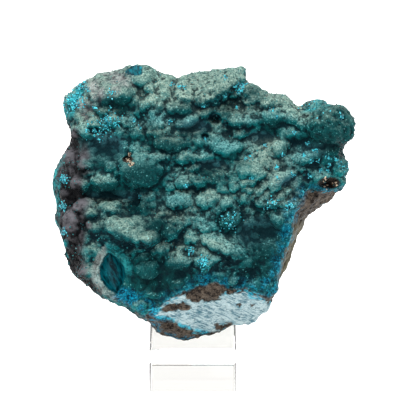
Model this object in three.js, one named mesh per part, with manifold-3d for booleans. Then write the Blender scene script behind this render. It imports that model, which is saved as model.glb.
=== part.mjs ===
// A chrysocolla specimen on its small clear display block, in millimetres, +Z up.
//
// The stone is one piece: brown matrix rock whose front is covered by a grown-on, grape-like crust.
// The origin is the centre of the block's underside. The crust looks towards -Y and leans back.
//
// The stone is laid out in a frame of its own face: X runs to the right along the crust, Z up along it and
// Y into the rock. The lowest point of the outline is at Z 0, and the crust's middle is near Y 0.

import * as THREE from "three";
import { mergeVertices } from "three/addons/utils/BufferGeometryUtils.js";
import Module from "manifold-3d";

const wasm = await Module();
wasm.setup();

// The clear block.
const BLOCK_WIDTH = 30;
const BLOCK_DEPTH = 34;
const BLOCK_HEIGHT = 17;
const BLOCK_CHAMFER = 0.6;

// How the stone stands: its lean, and the front edge of its flat foot on the block and in its own frame.
const LEAN = THREE.MathUtils.degToRad(25);
const FOOT_FRONT_ON_BLOCK = -11.8;
const FOOT_FRONT_IN_STONE = 25;
const REST_GAP = 0.3;

// The form of the rock.
const MIDDLE = [-0.6, 51.7]; // X and Z that the outlines go round
const BACK_CROWN = 41; // Y of the back's middle
const FACE_RINGS = 26;
const POINTS_PER_FACE_RING = 7; // more for each ring outwards
const EDGE_RINGS = [0.33, 0.67]; // shares of the way from the face's edge to the widest outline
const SIDE_RINGS = [0.35, 0.7, 1]; // shares of the way from the widest outline to the back's edge
const BACK_RINGS = 7;
const POINTS_PER_BACK_RING = 10;
const EDGE_ROUNDING = 1.3; // over 1: the surface leaves the face's edge gently
const SIDE_ROUNDING = 1.6; // over 1: the sides leave the widest outline gently
const BACK_ROUNDING = 2;

// The bare face is flat in its middle and curves back towards the top, the sides and the bottom: from which
// distance or height, and how fast.
const CREST_X = -2;
const TOP_CURVE = { from: 74, rate: 0.0035 };
const SIDE_CURVE = { from: 30, rate: 0.004 };
const BOTTOM_CURVE = { from: 26, rate: 0.012 };

// The bare rock's unevenness, coarse and fine: how far, and over what distance.
const ROCK_ROUGHNESS = [
  { amount: 2.6, grain: 15 },
  { amount: 1.2, grain: 6 },
];

// How far a crust lump stands out of the face, as a share of its depth, how deep it is for its size, and how
// much more it stands out at its lower side than at its upper side.
const LUMP_PROUD = 0.75;
const LUMP_DEPTH = 0.95;
const LUMP_DROOP = 0.35;

// The small lumps that fill the crust between the others: one to a cell, off its middle by up to the shift.
const SMALL_LUMP_CELL = 5.4;
const SMALL_LUMP_SHIFT = 1.5;
const SMALL_LUMP_RADIUS = [2.1, 3.3];
const SMALL_LUMP_RISE = 1.9;

// The widest outline of the stone, seen square to its face: X, Z and how far back (Y) the edge lies there.
const OUTLINE = [
  // top, from the left corner to the right
  [-44.3, 82.4, 8], [-42.5, 85.8, 8], [-38.8, 89.3, 9], [-33.8, 91.6, 10], [-25.2, 94.3, 12],
  [-18.7, 95.2, 10], [-13, 93.9, 10], [-11.4, 92.6, 12], [-5.5, 90.6, 13], [-3.3, 92, 13],
  [0.1, 92.3, 13], [1.8, 93.5, 12], [8.1, 93.8, 12], [12.7, 94.4, 11], [17.8, 94.8, 10],
  [18.1, 89.6, 12], [23.6, 87.7, 13], [26.6, 85.5, 14], [32.1, 85.8, 12], [36.5, 79.8, 12],
  // the knob and the right shoulder
  [38.4, 82.4, 9], [42, 83.4, 8], [45.6, 81.4, 8], [48.5, 80.5, 9], [53.6, 76.6, 10],
  [55.5, 73.2, 11], [54.8, 71, 12], [52.9, 68.8, 13], [51.4, 65.7, 14], [52.6, 62.3, 15],
  [53.6, 59.7, 16], [51.7, 56.6, 18], [53.1, 54.5, 20], [50.7, 51, 22], [49.4, 49, 22],
  // the broken right side
  [44.1, 45.7, 23], [40.3, 43.9, 24], [38.1, 40.3, 24], [34.4, 34.2, 25], [32.1, 28.2, 25],
  [29.7, 22.5, 25], [28, 16.8, 24], [26.2, 14.6, 22], [26, 11.3, 22], [21.8, 6.4, 24],
  // the foot
  [17.2, 4.7, 25], [14.6, 5.6, 25], [11.3, 4.7, 25], [7.4, 2.8, 25], [2.2, 1.5, 25],
  [-2.7, 0, 25], [-7.2, 0.6, 25], [-13.1, 2.8, 24], [-15.1, 8, 22],
  // lower left and left side
  [-19.3, 10.2, 18], [-24.3, 12.8, 16], [-28.3, 15.3, 14], [-34, 18.4, 12], [-38.5, 21.8, 11],
  [-41.1, 24.1, 12], [-43.6, 29.7, 13], [-43.9, 34.2, 13], [-47.9, 41.9, 14], [-46.7, 46.5, 14],
  [-48.2, 53.6, 14], [-47.9, 58.1, 13], [-44.7, 63.8, 13], [-41.4, 68.3, 12], [-41.2, 72.8, 11],
  [-43.4, 76.7, 9],
];

// The edge of the crust's face, X and Z. Outside it the surface turns back to the widest outline.
const FACE_EDGE = [
  [-38, 80], [-36, 84], [-30, 87], [-22, 89], [-14, 89.5], [-6, 87.5], [2, 88.5], [10, 90], [16, 91],
  [16.5, 87], [22, 84.5], [26, 82.5], [31, 82.5], [36, 77.5], [40, 79.5], [46, 78], [50.5, 74],
  [51.5, 71], [49, 66], [49.5, 61], [50, 57], [49, 53.5], [44, 52.2], [37.6, 51.7], [37.2, 49],
  [35.5, 46.3], [34.5, 42.9], [33.8, 40.8], [34.5, 38.1], [32.6, 34.7], [31.2, 32], [30, 29.2],
  [29.2, 26.5], [28.6, 23.4], [28.6, 18.3], [26.3, 15.9], [23.6, 15.9], [21.2, 17.3], [13.4, 18.3],
  [7.6, 21], [0.8, 19.3], [-7.8, 14.9], [-12.2, 11.5], [-14.6, 10.5], [-20, 13], [-26, 16.5],
  [-33, 21], [-36.5, 26], [-37.5, 35], [-38.5, 45], [-39, 55], [-37.5, 66], [-37.5, 74],
];

// The angles round MIDDLE, in degrees, between which the rock outside the face's edge is broken.
const BROKEN_FROM = -125;
const BROKEN_TO = 0;

// The edge of the back, X, Z and Y.
const BACK_EDGE = [
  [-36, 80, 24], [-24, 86, 26], [-8, 85, 27], [10, 86, 27], [24, 80, 26], [38, 74, 24], [46, 66, 25],
  [47, 56, 30], [42, 49, 33], [35, 42, 36], [28, 28, 38], [22, 14, 40], [12, 6, 43], [-2, 3, 44],
  [-12, 6, 42], [-22, 16, 36], [-34, 26, 32], [-39, 40, 33], [-40, 56, 32], [-37, 68, 29],
];

// Broad swells and hollows of the face: X, Z, half width, half height, and how far it stands out.
const SWELLS = [
  [0, 81, 30, 7, 1.5], [-22, 59, 13, 8, 4], [-22, 40, 14, 8, 5], [0, 46, 16, 10, 3],
  [22, 58, 16, 8, 2.5], [46, 73, 10, 9, 4], [12, 31, 14, 6, 3], [-6, 66, 12, 6, 2],
  [21.9, 38.1, 8, 6, -4], [-26, 50, 12, 3, -4.5], [-29.6, 66.7, 7, 5, -3.5], [0.1, 73.9, 6, 3, -2.5],
  [22.9, 69.8, 5, 3, -2.5], [13.4, 82.8, 4, 3, -3.5], [-36, 79, 3, 3, -2.5], [6.5, 60.9, 6, 2.5, -2.5],
];

// The boldest lumps of the crust, which overhang it: X, Z, half width, half height, and the turn of the long
// side in degrees.
const BOLD_LUMPS = [
  [-25.5, 85.5, 6.8, 4.1, 0], [6.9, 85.8, 8.5, 4.1, 35], [-17.3, 58.9, 7.5, 5.8, 0],
  [-20.4, 39.1, 9.2, 4.4, 0], [-7.4, 39.8, 4.1, 4.4, 0], [12, 66.4, 4.1, 3.1, 0],
  [46.8, 74.6, 8.2, 6.6, 0], [51.2, 72.2, 3.6, 3.9, 0], [41.3, 80.6, 4.1, 2.6, 0],
  [10.4, 33.2, 6.8, 2.7, -25], [0.8, 55.7, 6.8, 2.9, 0], [-40.5, 41.5, 3.8, 4.6, 0],
  [-29.9, 55.8, 4.4, 3.1, 0], [-16.3, 26.5, 4.4, 4.1, 0], [-3.3, 49.2, 4.3, 3.1, 0],
  [4.6, 49.3, 4.4, 3.1, 0], [-41.2, 63.3, 3.1, 2.6, 0],
];

// The other lumps, raised in the face itself.
const LUMPS = [
  // top left, under the broken glossy lump
  [-14.6, 87.2, 3.1, 3.1, 0], [-29.9, 79.7, 2.7, 2.7, 0], [-26.5, 77, 2.7, 2.7, 0],
  [-32.3, 80.7, 2, 2, 0], [-21.4, 75.6, 2.4, 2.4, 0], [-19, 71.8, 2.6, 2, 0], [-19, 66.4, 2.7, 2.7, 0],
  [-33.5, 87, 3.4, 2.6, 20], [-16, 81.4, 2.7, 2.7, 0], [-11.9, 81.7, 2.4, 2.4, 0],
  [-13.9, 78.3, 2.4, 2.4, 0], [-12.2, 75.4, 2.7, 2.7, 0], [-11.9, 71.6, 4.1, 2.4, 0],
  [-40.3, 82, 3, 3.2, 0],
  // top middle
  [-8.8, 89.4, 3.1, 2.2, 0], [-3, 89, 3.1, 1.9, 0], [-9.8, 85.5, 2.7, 2.7, 0], [-2.8, 84.3, 3.6, 2.9, 0],
  [-4.4, 80.2, 4.8, 2.7, 0], [-2.3, 76.3, 4.1, 2.7, 0], [-8.7, 68.4, 5.3, 2.7, 0], [12.6, 90.2, 4.2, 3.2, 0],
  // middle
  [-2, 64, 3.4, 2.7, 0], [3.1, 64.3, 2.7, 2.4, 0], [15.4, 71.5, 2.7, 2, 0], [17.8, 75.8, 6.5, 2.2, 0],
  [-11.2, 63.4, 4.1, 2, 0], [19.5, 85.4, 2.2, 2.2, 0], [27.3, 77.4, 3.4, 3.1, 0], [24.6, 81.6, 2.6, 2, -20],
  // right, beside the knob
  [33.8, 77.3, 4.1, 2.7, 0], [39.3, 74.6, 3.4, 2.4, 0], [31.8, 71.6, 3.4, 2.1, 0],
  [29.4, 67.4, 4.8, 2.1, 15], [49.8, 60.2, 2.8, 3.3, 0], [19.5, 59.2, 5.5, 3.4, 0],
  [28.5, 56, 6.2, 2.3, 30], [38, 63.4, 6.4, 2.4, 30], [43.6, 56.8, 4.2, 2.2, 20],
  // left
  [-37.8, 54.8, 3.4, 3.1, 0], [-42.2, 50.6, 2.8, 2.8, 0], [-36.8, 46.8, 4.4, 2.2, 0],
  [-41.3, 34.6, 2.4, 2.6, 0], [-36.4, 61, 2.7, 2.4, 0], [-38.8, 72, 2.6, 2.6, 0],
  [-27.6, 59.8, 2.9, 2.2, 0], [-28.2, 46.1, 4.4, 2.4, 0], [-33.2, 39.8, 3.3, 2.6, 0],
  [-32.7, 32.6, 2.9, 2.9, 0], [-15.3, 50.6, 3.6, 3.2, 0], [-14.6, 46.6, 3.2, 1.9, 0],
  // centre
  [-7.8, 54.1, 2.4, 2.2, 0], [10.6, 48, 2.4, 2.2, 0], [3.8, 40.1, 4.1, 2.6, 0], [-0.6, 36.4, 3.4, 2.6, 0],
  [13, 43.1, 3.2, 4.1, 0], [13.4, 54.1, 2.6, 2.2, 0], [-1.5, 59.8, 3.2, 1.9, 0], [9, 45, 2.1, 1.7, 0],
  // lower part
  [-10.5, 32.6, 2.6, 2.4, 0], [-4.4, 28.3, 4.8, 2.9, 0], [4.2, 28.6, 4, 3.3, 0], [18.1, 28.5, 4.1, 2.9, 0],
  [26, 32.4, 3.6, 2.7, -10], [25.6, 24.6, 2.9, 2.6, 0], [29.6, 42.9, 2.9, 2.9, 0], [20.6, 20.8, 3, 2.4, 0],
  [13.4, 22.6, 3.2, 2.4, 0], [-6.6, 21.6, 4.4, 2.6, -20], [-14.4, 17.6, 3.8, 2.8, -25],
  [-36, 25.2, 3, 2.6, 30], [26.4, 48.6, 3.4, 2.6, 40],
];

// The broken lump at the lower left, and the spindle-shaped hollow in it.
const BROKEN_LUMP = [-27, 22.6, 6.2, 8.6, 12];
const BROKEN_HOLLOW = [-25.8, 22.8, 3.6, 6.4, 12];
const BROKEN_HOLLOW_DEPTH = 5;
const BROKEN_HOLLOW_PROUD = 3.6; // how far its middle lies in front of the face

// The glossy lump at the top, whose left half is split off by a flat break.
const SPLIT_LUMP = [-17.3, 90.2, 5.5, 4.6, 0];
const SPLIT_AT = [-18.6, 90];
const SPLIT_PROUD = 1.5; // how far the break's middle lies in front of the face
const SPLIT_FACING = [-0.62, -0.7, 0.35];

// Pits in the face: X, Z, half width, half height, depth. Their middles lie a little in front of the face.
const PITS = [
  [46.4, 54.8, 3.6, 2, 4], [7.6, 76.4, 2.3, 2.1, 2.6], [4.2, 70.1, 1.5, 1.4, 2],
  [-22, 63.9, 1.8, 1.3, 3], [-33.8, 72.6, 2.2, 1.6, 2.4],
];

const PIT_PROUD = 0.4;

// Flat breaks across the back: a point on each, and the way that it looks.
const BREAKS = [
  { at: [-22, 33, 74], facing: [-0.35, 0.85, 0.4] },
  { at: [30, 31, 68], facing: [0.5, 0.8, 0.3] },
  { at: [31, 36, 34], facing: [0.75, 0.62, -0.2] },
  { at: [-33, 34, 34], facing: [-0.62, 0.75, -0.25] },
];
const BREAK_SIZE = 160; // the box that a break takes away, larger than the whole stone

// Points nearer than this are one point.
const WELD = 1e-4;

// Repeatable noise between -1 and 1: random values on a grid of points, joined smoothly.
function gridValue(i, j, k) {
  const mixed = Math.sin(i * 127.1 + j * 311.7 + k * 74.7) * 43758.5453;
  return 2 * (mixed - Math.floor(mixed)) - 1;
}

function noise(x, y, z) {
  const cell = [Math.floor(x), Math.floor(y), Math.floor(z)];
  const smooth = [x - cell[0], y - cell[1], z - cell[2]].map((t) => t * t * (3 - 2 * t));
  let total = 0;
  for (let corner = 0; corner < 8; corner++) {
    const step = [corner & 1, (corner >> 1) & 1, (corner >> 2) & 1];
    const weights = step.map((s, axis) => (s ? smooth[axis] : 1 - smooth[axis]));
    const value = gridValue(cell[0] + step[0], cell[1] + step[1], cell[2] + step[2]);
    total += value * weights[0] * weights[1] * weights[2];
  }
  return total;
}

// Where a ray from MIDDLE at this angle crosses an outline: the distance, and the Y there if it holds one.
function reach(outline, angle) {
  const ray = [Math.cos(angle), Math.sin(angle)];
  for (let i = 0; i < outline.length; i++) {
    const from = outline[i];
    const to = outline[(i + 1) % outline.length];
    const start = [from[0] - MIDDLE[0], from[1] - MIDDLE[1]];
    const side = [to[0] - from[0], to[1] - from[1]];
    const cross = ray[0] * side[1] - ray[1] * side[0];
    const share = (ray[1] * start[0] - ray[0] * start[1]) / cross;
    const distance = (start[0] * side[1] - start[1] * side[0]) / cross;
    if (distance > 0 && share >= -1e-9 && share < 1 - 1e-9) {
      const depth = from.length > 2 ? from[2] + share * (to[2] - from[2]) : 0;
      return { distance, depth };
    }
  }
  throw new Error("an outline has to go all the way round the middle");
}

// The Y of the crust's face without its lumps.
function bareCrustDepth(x, z) {
  let depth = TOP_CURVE.rate * Math.max(0, z - TOP_CURVE.from) ** 2;
  depth += SIDE_CURVE.rate * Math.max(0, Math.abs(x - CREST_X) - SIDE_CURVE.from) ** 2;
  depth += BOTTOM_CURVE.rate * Math.max(0, BOTTOM_CURVE.from - z) ** 2;
  for (const [sx, sz, width, height, rise] of SWELLS) {
    depth -= rise * Math.exp(-(((x - sx) / width) ** 2) - ((z - sz) / height) ** 2);
  }
  return depth;
}

// The Y of the front without lumps, anywhere inside the outline: the face, then its turn to the outline.
function bareFrontDepth(x, z) {
  const away = Math.hypot(x - MIDDLE[0], z - MIDDLE[1]);
  const angle = Math.atan2(z - MIDDLE[1], x - MIDDLE[0]);
  const edge = reach(FACE_EDGE, angle).distance;
  if (away <= edge) {
    return bareCrustDepth(x, z);
  }
  const outer = reach(OUTLINE, angle);
  const share = Math.min(1, (away - edge) / (outer.distance - edge));
  const edgeX = MIDDLE[0] + edge * Math.cos(angle);
  const edgeZ = MIDDLE[1] + edge * Math.sin(angle);
  return THREE.MathUtils.lerp(bareCrustDepth(edgeX, edgeZ), outer.depth, share ** EDGE_ROUNDING);
}

// How far one lump stands out at a point: a round cap that droops.
function capHeight(x, z, [lumpX, lumpZ, halfWidth, halfHeight, turn]) {
  const angle = THREE.MathUtils.degToRad(turn);
  const across = (x - lumpX) * Math.cos(angle) + (z - lumpZ) * Math.sin(angle);
  const up = (z - lumpZ) * Math.cos(angle) - (x - lumpX) * Math.sin(angle);
  const inside = 1 - (across / halfWidth) ** 2 - (up / halfHeight) ** 2;
  if (inside <= 0) {
    return 0;
  }
  const halfDepth = LUMP_DEPTH * Math.sqrt(halfWidth * halfHeight);
  const cap = halfDepth * (Math.sqrt(inside) - (1 - LUMP_PROUD) * (1 - inside));
  return Math.max(0, cap * LUMP_PROUD * (1 - (LUMP_DROOP * up) / halfHeight));
}

// The small lumps near a point.
function smallLumpHeight(x, z) {
  const column = Math.floor(x / SMALL_LUMP_CELL);
  const row = Math.floor(z / SMALL_LUMP_CELL);
  let highest = 0;
  for (let i = column - 1; i <= column + 1; i++) {
    for (let j = row - 1; j <= row + 1; j++) {
      const lumpX = (i + 0.5) * SMALL_LUMP_CELL + SMALL_LUMP_SHIFT * gridValue(i, j, 1);
      const lumpZ = (j + 0.5) * SMALL_LUMP_CELL + SMALL_LUMP_SHIFT * gridValue(i, j, 2);
      const size = 0.5 + 0.5 * gridValue(i, j, 3);
      const radius = THREE.MathUtils.lerp(...SMALL_LUMP_RADIUS, size);
      const inside = 1 - ((x - lumpX) ** 2 + (z - lumpZ) ** 2) / radius ** 2;
      highest = Math.max(highest, SMALL_LUMP_RISE * size * Math.sqrt(Math.max(0, inside)));
    }
  }
  return highest;
}

// Outside the face's edge at the right and below the crust, the rock is broken and has no lumps.
function isBroken(x, z) {
  const away = Math.hypot(x - MIDDLE[0], z - MIDDLE[1]);
  const angle = Math.atan2(z - MIDDLE[1], x - MIDDLE[0]);
  const degrees = THREE.MathUtils.radToDeg(angle);
  return away > reach(FACE_EDGE, angle).distance && degrees > BROKEN_FROM && degrees < BROKEN_TO;
}

// The Y of the front with its lumps. They fade out towards the outline, and don't grow on broken rock.
function frontDepth(x, z) {
  const away = Math.hypot(x - MIDDLE[0], z - MIDDLE[1]);
  const angle = Math.atan2(z - MIDDLE[1], x - MIDDLE[0]);
  const rim = reach(OUTLINE, angle).distance;
  const edge = reach(FACE_EDGE, angle).distance;
  const rise = Math.max(smallLumpHeight(x, z), ...LUMPS.map((lump) => capHeight(x, z, lump)));
  const fade = away <= edge ? 1 : Math.max(0, (rim - away) / (rim - edge));
  return bareFrontDepth(x, z) - rise * (isBroken(x, z) ? 0 : fade);
}

// A point of the bare rock, moved by the rock's unevenness.
function roughened([x, y, z]) {
  const moved = [x, y, z];
  for (const { amount, grain } of ROCK_ROUGHNESS) {
    const [i, j, k] = [x / grain, y / grain, z / grain];
    moved[0] += amount * noise(i + 7.3, j, k);
    moved[1] += amount * noise(i, j + 3.1, k + 5.7);
    moved[2] += amount * noise(i + 1.9, j + 9.4, k);
  }
  return moved;
}

// A ring of points round MIDDLE: its angles in rising order, and its points by a function of the angle.
function ring(angles, pointAt) {
  const points = angles.map((angle) => {
    const { distance, depth } = pointAt(angle);
    const x = MIDDLE[0] + distance * Math.cos(angle);
    const z = MIDDLE[1] + distance * Math.sin(angle);
    return [x, depth === undefined ? frontDepth(x, z) : depth, z];
  });
  return { angles, points };
}

const evenAngles = (count) => Array.from({ length: count }, (_, i) => -Math.PI + (2 * Math.PI * i) / count);
const angleOf = ([x, z]) => Math.atan2(z - MIDDLE[1], x - MIDDLE[0]);
const OUTLINE_ANGLES = OUTLINE.map(angleOf).sort((first, second) => first - second);

// Every ring of the rock from the middle of the face, over the widest outline, to the middle of the back.
function rockRings() {
  const rings = [];
  for (let i = 1; i <= FACE_RINGS; i++) {
    const edge = (angle) => reach(FACE_EDGE, angle).distance;
    const angles = evenAngles(POINTS_PER_FACE_RING * i);
    rings.push(ring(angles, (angle) => ({ distance: (i / FACE_RINGS) * edge(angle) })));
  }
  for (const share of EDGE_RINGS) {
    const between = (angle) =>
      THREE.MathUtils.lerp(reach(FACE_EDGE, angle).distance, reach(OUTLINE, angle).distance, share);
    const count = THREE.MathUtils.lerp(POINTS_PER_FACE_RING * FACE_RINGS, OUTLINE.length, share);
    rings.push(ring(evenAngles(Math.round(count)), (angle) => ({ distance: between(angle) })));
  }
  rings.push(ring(OUTLINE_ANGLES, (angle) => reach(OUTLINE, angle)));
  for (const share of SIDE_RINGS) {
    const sideRing = ring(OUTLINE_ANGLES, (angle) => {
      const outer = reach(OUTLINE, angle);
      const inner = reach(BACK_EDGE, angle);
      return {
        distance: THREE.MathUtils.lerp(outer.distance, inner.distance, share ** SIDE_ROUNDING),
        depth: THREE.MathUtils.lerp(outer.depth, inner.depth, share),
      };
    });
    rings.push({ angles: sideRing.angles, points: sideRing.points.map(roughened) });
  }
  for (let i = BACK_RINGS - 1; i >= 1; i--) {
    const share = i / BACK_RINGS;
    const backRing = ring(evenAngles(POINTS_PER_BACK_RING * i), (angle) => {
      const inner = reach(BACK_EDGE, angle);
      const depth = THREE.MathUtils.lerp(BACK_CROWN, inner.depth, share ** BACK_ROUNDING);
      return { distance: share * inner.distance, depth };
    });
    rings.push({ angles: backRing.angles, points: backRing.points.map(roughened) });
  }
  return rings;
}

// The triangles between two rings, whatever their numbers of points: each step goes along the ring whose
// next point comes first.
function stitch(first, second) {
  const faces = [];
  const ahead = (one, step) => (step < one.angles.length ? one.angles[step] : Math.PI * 2 + one.angles[0]);
  const at = (one, step) => one.start + (step % one.angles.length);
  let i = 0;
  let j = 0;
  while (i < first.angles.length || j < second.angles.length) {
    const alongSecond = i >= first.angles.length || ahead(second, j + 1) <= ahead(first, i + 1);
    if (j < second.angles.length && alongSecond) {
      faces.push(at(first, i), at(second, j), at(second, j + 1));
      j++;
    } else {
      faces.push(at(first, i), at(second, j), at(first, i + 1));
      i++;
    }
  }
  return faces;
}

// A closed mesh over the rings, with one point at each end.
function rockGeometry() {
  const rings = rockRings();
  const points = [[MIDDLE[0], frontDepth(...MIDDLE), MIDDLE[1]]];
  for (const one of rings) {
    one.start = points.length;
    points.push(...one.points);
  }
  const last = rings[rings.length - 1];
  const faces = [];
  rings[0].angles.forEach((_, i) => faces.push(0, 1 + i, 1 + ((i + 1) % rings[0].angles.length)));
  for (let level = 0; level < rings.length - 1; level++) {
    faces.push(...stitch(rings[level], rings[level + 1]));
  }
  last.angles.forEach((_, i) => {
    faces.push(last.start + i, points.length, last.start + ((i + 1) % last.angles.length));
  });
  points.push([MIDDLE[0], BACK_CROWN, MIDDLE[1]]);
  const geometry = new THREE.BufferGeometry();
  geometry.setAttribute("position", new THREE.Float32BufferAttribute(points.flat(), 3));
  geometry.setIndex(faces);
  return geometry;
}

// A closed geometry as a solid that can be joined and cut.
function solidOf(geometry) {
  const bare = geometry.clone();
  bare.deleteAttribute("normal");
  bare.deleteAttribute("uv");
  const merged = mergeVertices(bare, WELD);
  return new wasm.Manifold(
    new wasm.Mesh({
      numProp: 3,
      vertProperties: new Float32Array(merged.attributes.position.array),
      triVerts: new Uint32Array(merged.index.array),
    }),
  );
}

function geometryOf(solid) {
  const mesh = solid.getMesh();
  const geometry = new THREE.BufferGeometry();
  geometry.setAttribute("position", new THREE.Float32BufferAttribute(mesh.vertProperties, 3));
  geometry.setIndex([...mesh.triVerts]);
  return geometry;
}

// An uneven faceted ball, with its long side turned in the face's plane.
function ball([x, y, z], [halfWidth, halfDepth, halfHeight], turn) {
  const geometry = new THREE.IcosahedronGeometry(1, 1);
  geometry.rotateY(x * 1.7 + z);
  geometry.rotateX(z * 0.9);
  geometry.scale(halfWidth, halfDepth, halfHeight);
  geometry.rotateY(-THREE.MathUtils.degToRad(turn));
  geometry.translate(x, y, z);
  return solidOf(geometry);
}

// A bold lump of the crust, set into the face by its own size.
function boldLump([x, z, halfWidth, halfHeight, turn]) {
  const halfDepth = LUMP_DEPTH * Math.sqrt(halfWidth * halfHeight);
  const y = bareFrontDepth(x, z) + (1 - LUMP_PROUD) * halfDepth;
  return ball([x, y, z], [halfWidth, halfDepth, halfHeight], turn);
}

function pit([x, z, halfWidth, halfHeight, depth]) {
  return ball([x, frontDepth(x, z) - PIT_PROUD, z], [halfWidth, depth, halfHeight], 0);
}

// A big box whose near face lies on a plane: what it holds is broken away.
function beyond(at, facing) {
  const geometry = new THREE.BoxGeometry(BREAK_SIZE, BREAK_SIZE, BREAK_SIZE);
  geometry.translate(0, 0, BREAK_SIZE / 2);
  const up = new THREE.Vector3(0, 0, 1);
  const turn = new THREE.Quaternion().setFromUnitVectors(up, new THREE.Vector3(...facing).normalize());
  geometry.applyQuaternion(turn);
  geometry.translate(...at);
  return solidOf(geometry);
}

// Half of the glossy top lump is gone, down to one flat break.
function splitLump() {
  const at = [SPLIT_AT[0], frontDepth(SPLIT_LUMP[0], SPLIT_LUMP[1]) - SPLIT_PROUD, SPLIT_AT[1]];
  return boldLump(SPLIT_LUMP).subtract(beyond(at, SPLIT_FACING));
}

function brokenHollow() {
  const [x, z, halfWidth, halfHeight, turn] = BROKEN_HOLLOW;
  const opening = frontDepth(BROKEN_LUMP[0], BROKEN_LUMP[1]) - BROKEN_HOLLOW_PROUD;
  return ball([x, opening, z], [halfWidth, BROKEN_HOLLOW_DEPTH, halfHeight], turn);
}

// Everything below the plane that the stone stands on, which is level once the stone leans.
function belowFoot() {
  return beyond([0, FOOT_FRONT_IN_STONE, 0], [0, Math.sin(LEAN), -Math.cos(LEAN)]);
}

function specimenGeometry() {
  let rock = solidOf(rockGeometry());
  for (const { at, facing } of BREAKS) {
    rock = rock.subtract(beyond(at, facing));
  }
  for (const row of BOLD_LUMPS) {
    rock = rock.add(boldLump(row));
  }
  rock = rock.add(splitLump());
  rock = rock.add(boldLump(BROKEN_LUMP)).subtract(brokenHollow());
  for (const row of PITS) {
    rock = rock.subtract(pit(row));
  }
  return geometryOf(rock.subtract(belowFoot()));
}

// The block: a plain cuboid with a narrow polished chamfer on every edge.
function blockGeometry() {
  const halfWidth = BLOCK_WIDTH / 2 - BLOCK_CHAMFER;
  const halfDepth = BLOCK_DEPTH / 2 - BLOCK_CHAMFER;
  const plan = new THREE.Shape();
  plan.moveTo(-halfWidth, -halfDepth);
  plan.lineTo(halfWidth, -halfDepth);
  plan.lineTo(halfWidth, halfDepth);
  plan.lineTo(-halfWidth, halfDepth);
  plan.closePath();
  const geometry = new THREE.ExtrudeGeometry(plan, {
    depth: BLOCK_HEIGHT - 2 * BLOCK_CHAMFER,
    bevelEnabled: true,
    bevelThickness: BLOCK_CHAMFER,
    bevelSize: BLOCK_CHAMFER,
    bevelSegments: 1,
    steps: 1,
  });
  geometry.translate(0, 0, BLOCK_CHAMFER);
  return geometry;
}

const object = new THREE.Group();

const block = new THREE.Mesh(
  blockGeometry(),
  new THREE.MeshStandardMaterial({ color: "#f4f5f2", roughness: 0.04, metalness: 0 }),
);
block.name = "display_block";
object.add(block);

const stone = new THREE.Mesh(
  specimenGeometry(),
  new THREE.MeshStandardMaterial({ color: "#2f6064", roughness: 0.45, metalness: 0, flatShading: true }),
);
stone.name = "chrysocolla_specimen";
stone.rotation.x = -LEAN;
stone.position.set(
  0,
  FOOT_FRONT_ON_BLOCK - FOOT_FRONT_IN_STONE * Math.cos(LEAN),
  BLOCK_HEIGHT + REST_GAP + FOOT_FRONT_IN_STONE * Math.sin(LEAN),
);
object.add(stone);

export default object;
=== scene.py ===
# %% [markdown]
# # A chrysocolla specimen on a clear block
# The object is a slab of brown rock whose front is covered by a grape-like crust of chrysocolla, a blue-green
# copper mineral. It leans back on a small polished block. The solid model gives the sizes and the main form, and
# this lesson makes the fine surface, the colours and the light. Lengths are in millimetres in the stone's own
# frame until a piece is finished, and in metres after that.

import math

import bmesh
import bpy
import numpy as np
from mathutils import Matrix, Vector
from mathutils.bvhtree import BVHTree


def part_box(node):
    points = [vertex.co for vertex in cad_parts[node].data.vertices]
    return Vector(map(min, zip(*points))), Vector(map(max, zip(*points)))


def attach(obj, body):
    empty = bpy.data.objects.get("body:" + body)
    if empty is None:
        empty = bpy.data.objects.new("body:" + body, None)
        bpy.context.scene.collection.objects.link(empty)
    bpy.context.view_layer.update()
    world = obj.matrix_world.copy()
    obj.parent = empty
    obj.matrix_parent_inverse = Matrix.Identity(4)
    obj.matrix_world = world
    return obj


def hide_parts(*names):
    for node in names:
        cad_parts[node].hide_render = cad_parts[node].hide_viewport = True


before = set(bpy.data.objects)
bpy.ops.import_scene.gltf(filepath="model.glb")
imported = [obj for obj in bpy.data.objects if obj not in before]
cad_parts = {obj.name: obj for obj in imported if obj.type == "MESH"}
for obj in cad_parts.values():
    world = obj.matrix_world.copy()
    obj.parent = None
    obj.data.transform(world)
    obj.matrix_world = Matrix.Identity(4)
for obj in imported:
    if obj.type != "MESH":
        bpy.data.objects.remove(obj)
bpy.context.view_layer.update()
bpy.ops.object.select_all(action="DESELECT")
MM = 0.001

# %% [markdown]
# ## The stone's own frame
# The real slab stands a little tipped back, with a flat foot on the block. It is easier to model it as if it
# stood upright: X runs to the right along the crust, Z up along it and Y into the rock. One matrix then leans it
# back and puts it on the block. Its numbers are those of the solid model: the lean, and where the foot begins.

# %% Stone frame
LEAN = math.radians(25)
FOOT_FRONT_ON_BLOCK = -11.8
FOOT_FRONT_IN_STONE = 25
foot_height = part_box("chrysocolla_specimen")[0].z / MM
stone_origin = Vector((
    0,
    FOOT_FRONT_ON_BLOCK - FOOT_FRONT_IN_STONE * math.cos(LEAN),
    foot_height + FOOT_FRONT_IN_STONE * math.sin(LEAN),
))
stone_to_world = Matrix.Scale(MM, 4) @ Matrix.Translation(stone_origin) @ Matrix.Rotation(-LEAN, 4, "X")
print("foot of the stone at", round(foot_height, 2), "mm, frame origin at", stone_origin)
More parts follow.
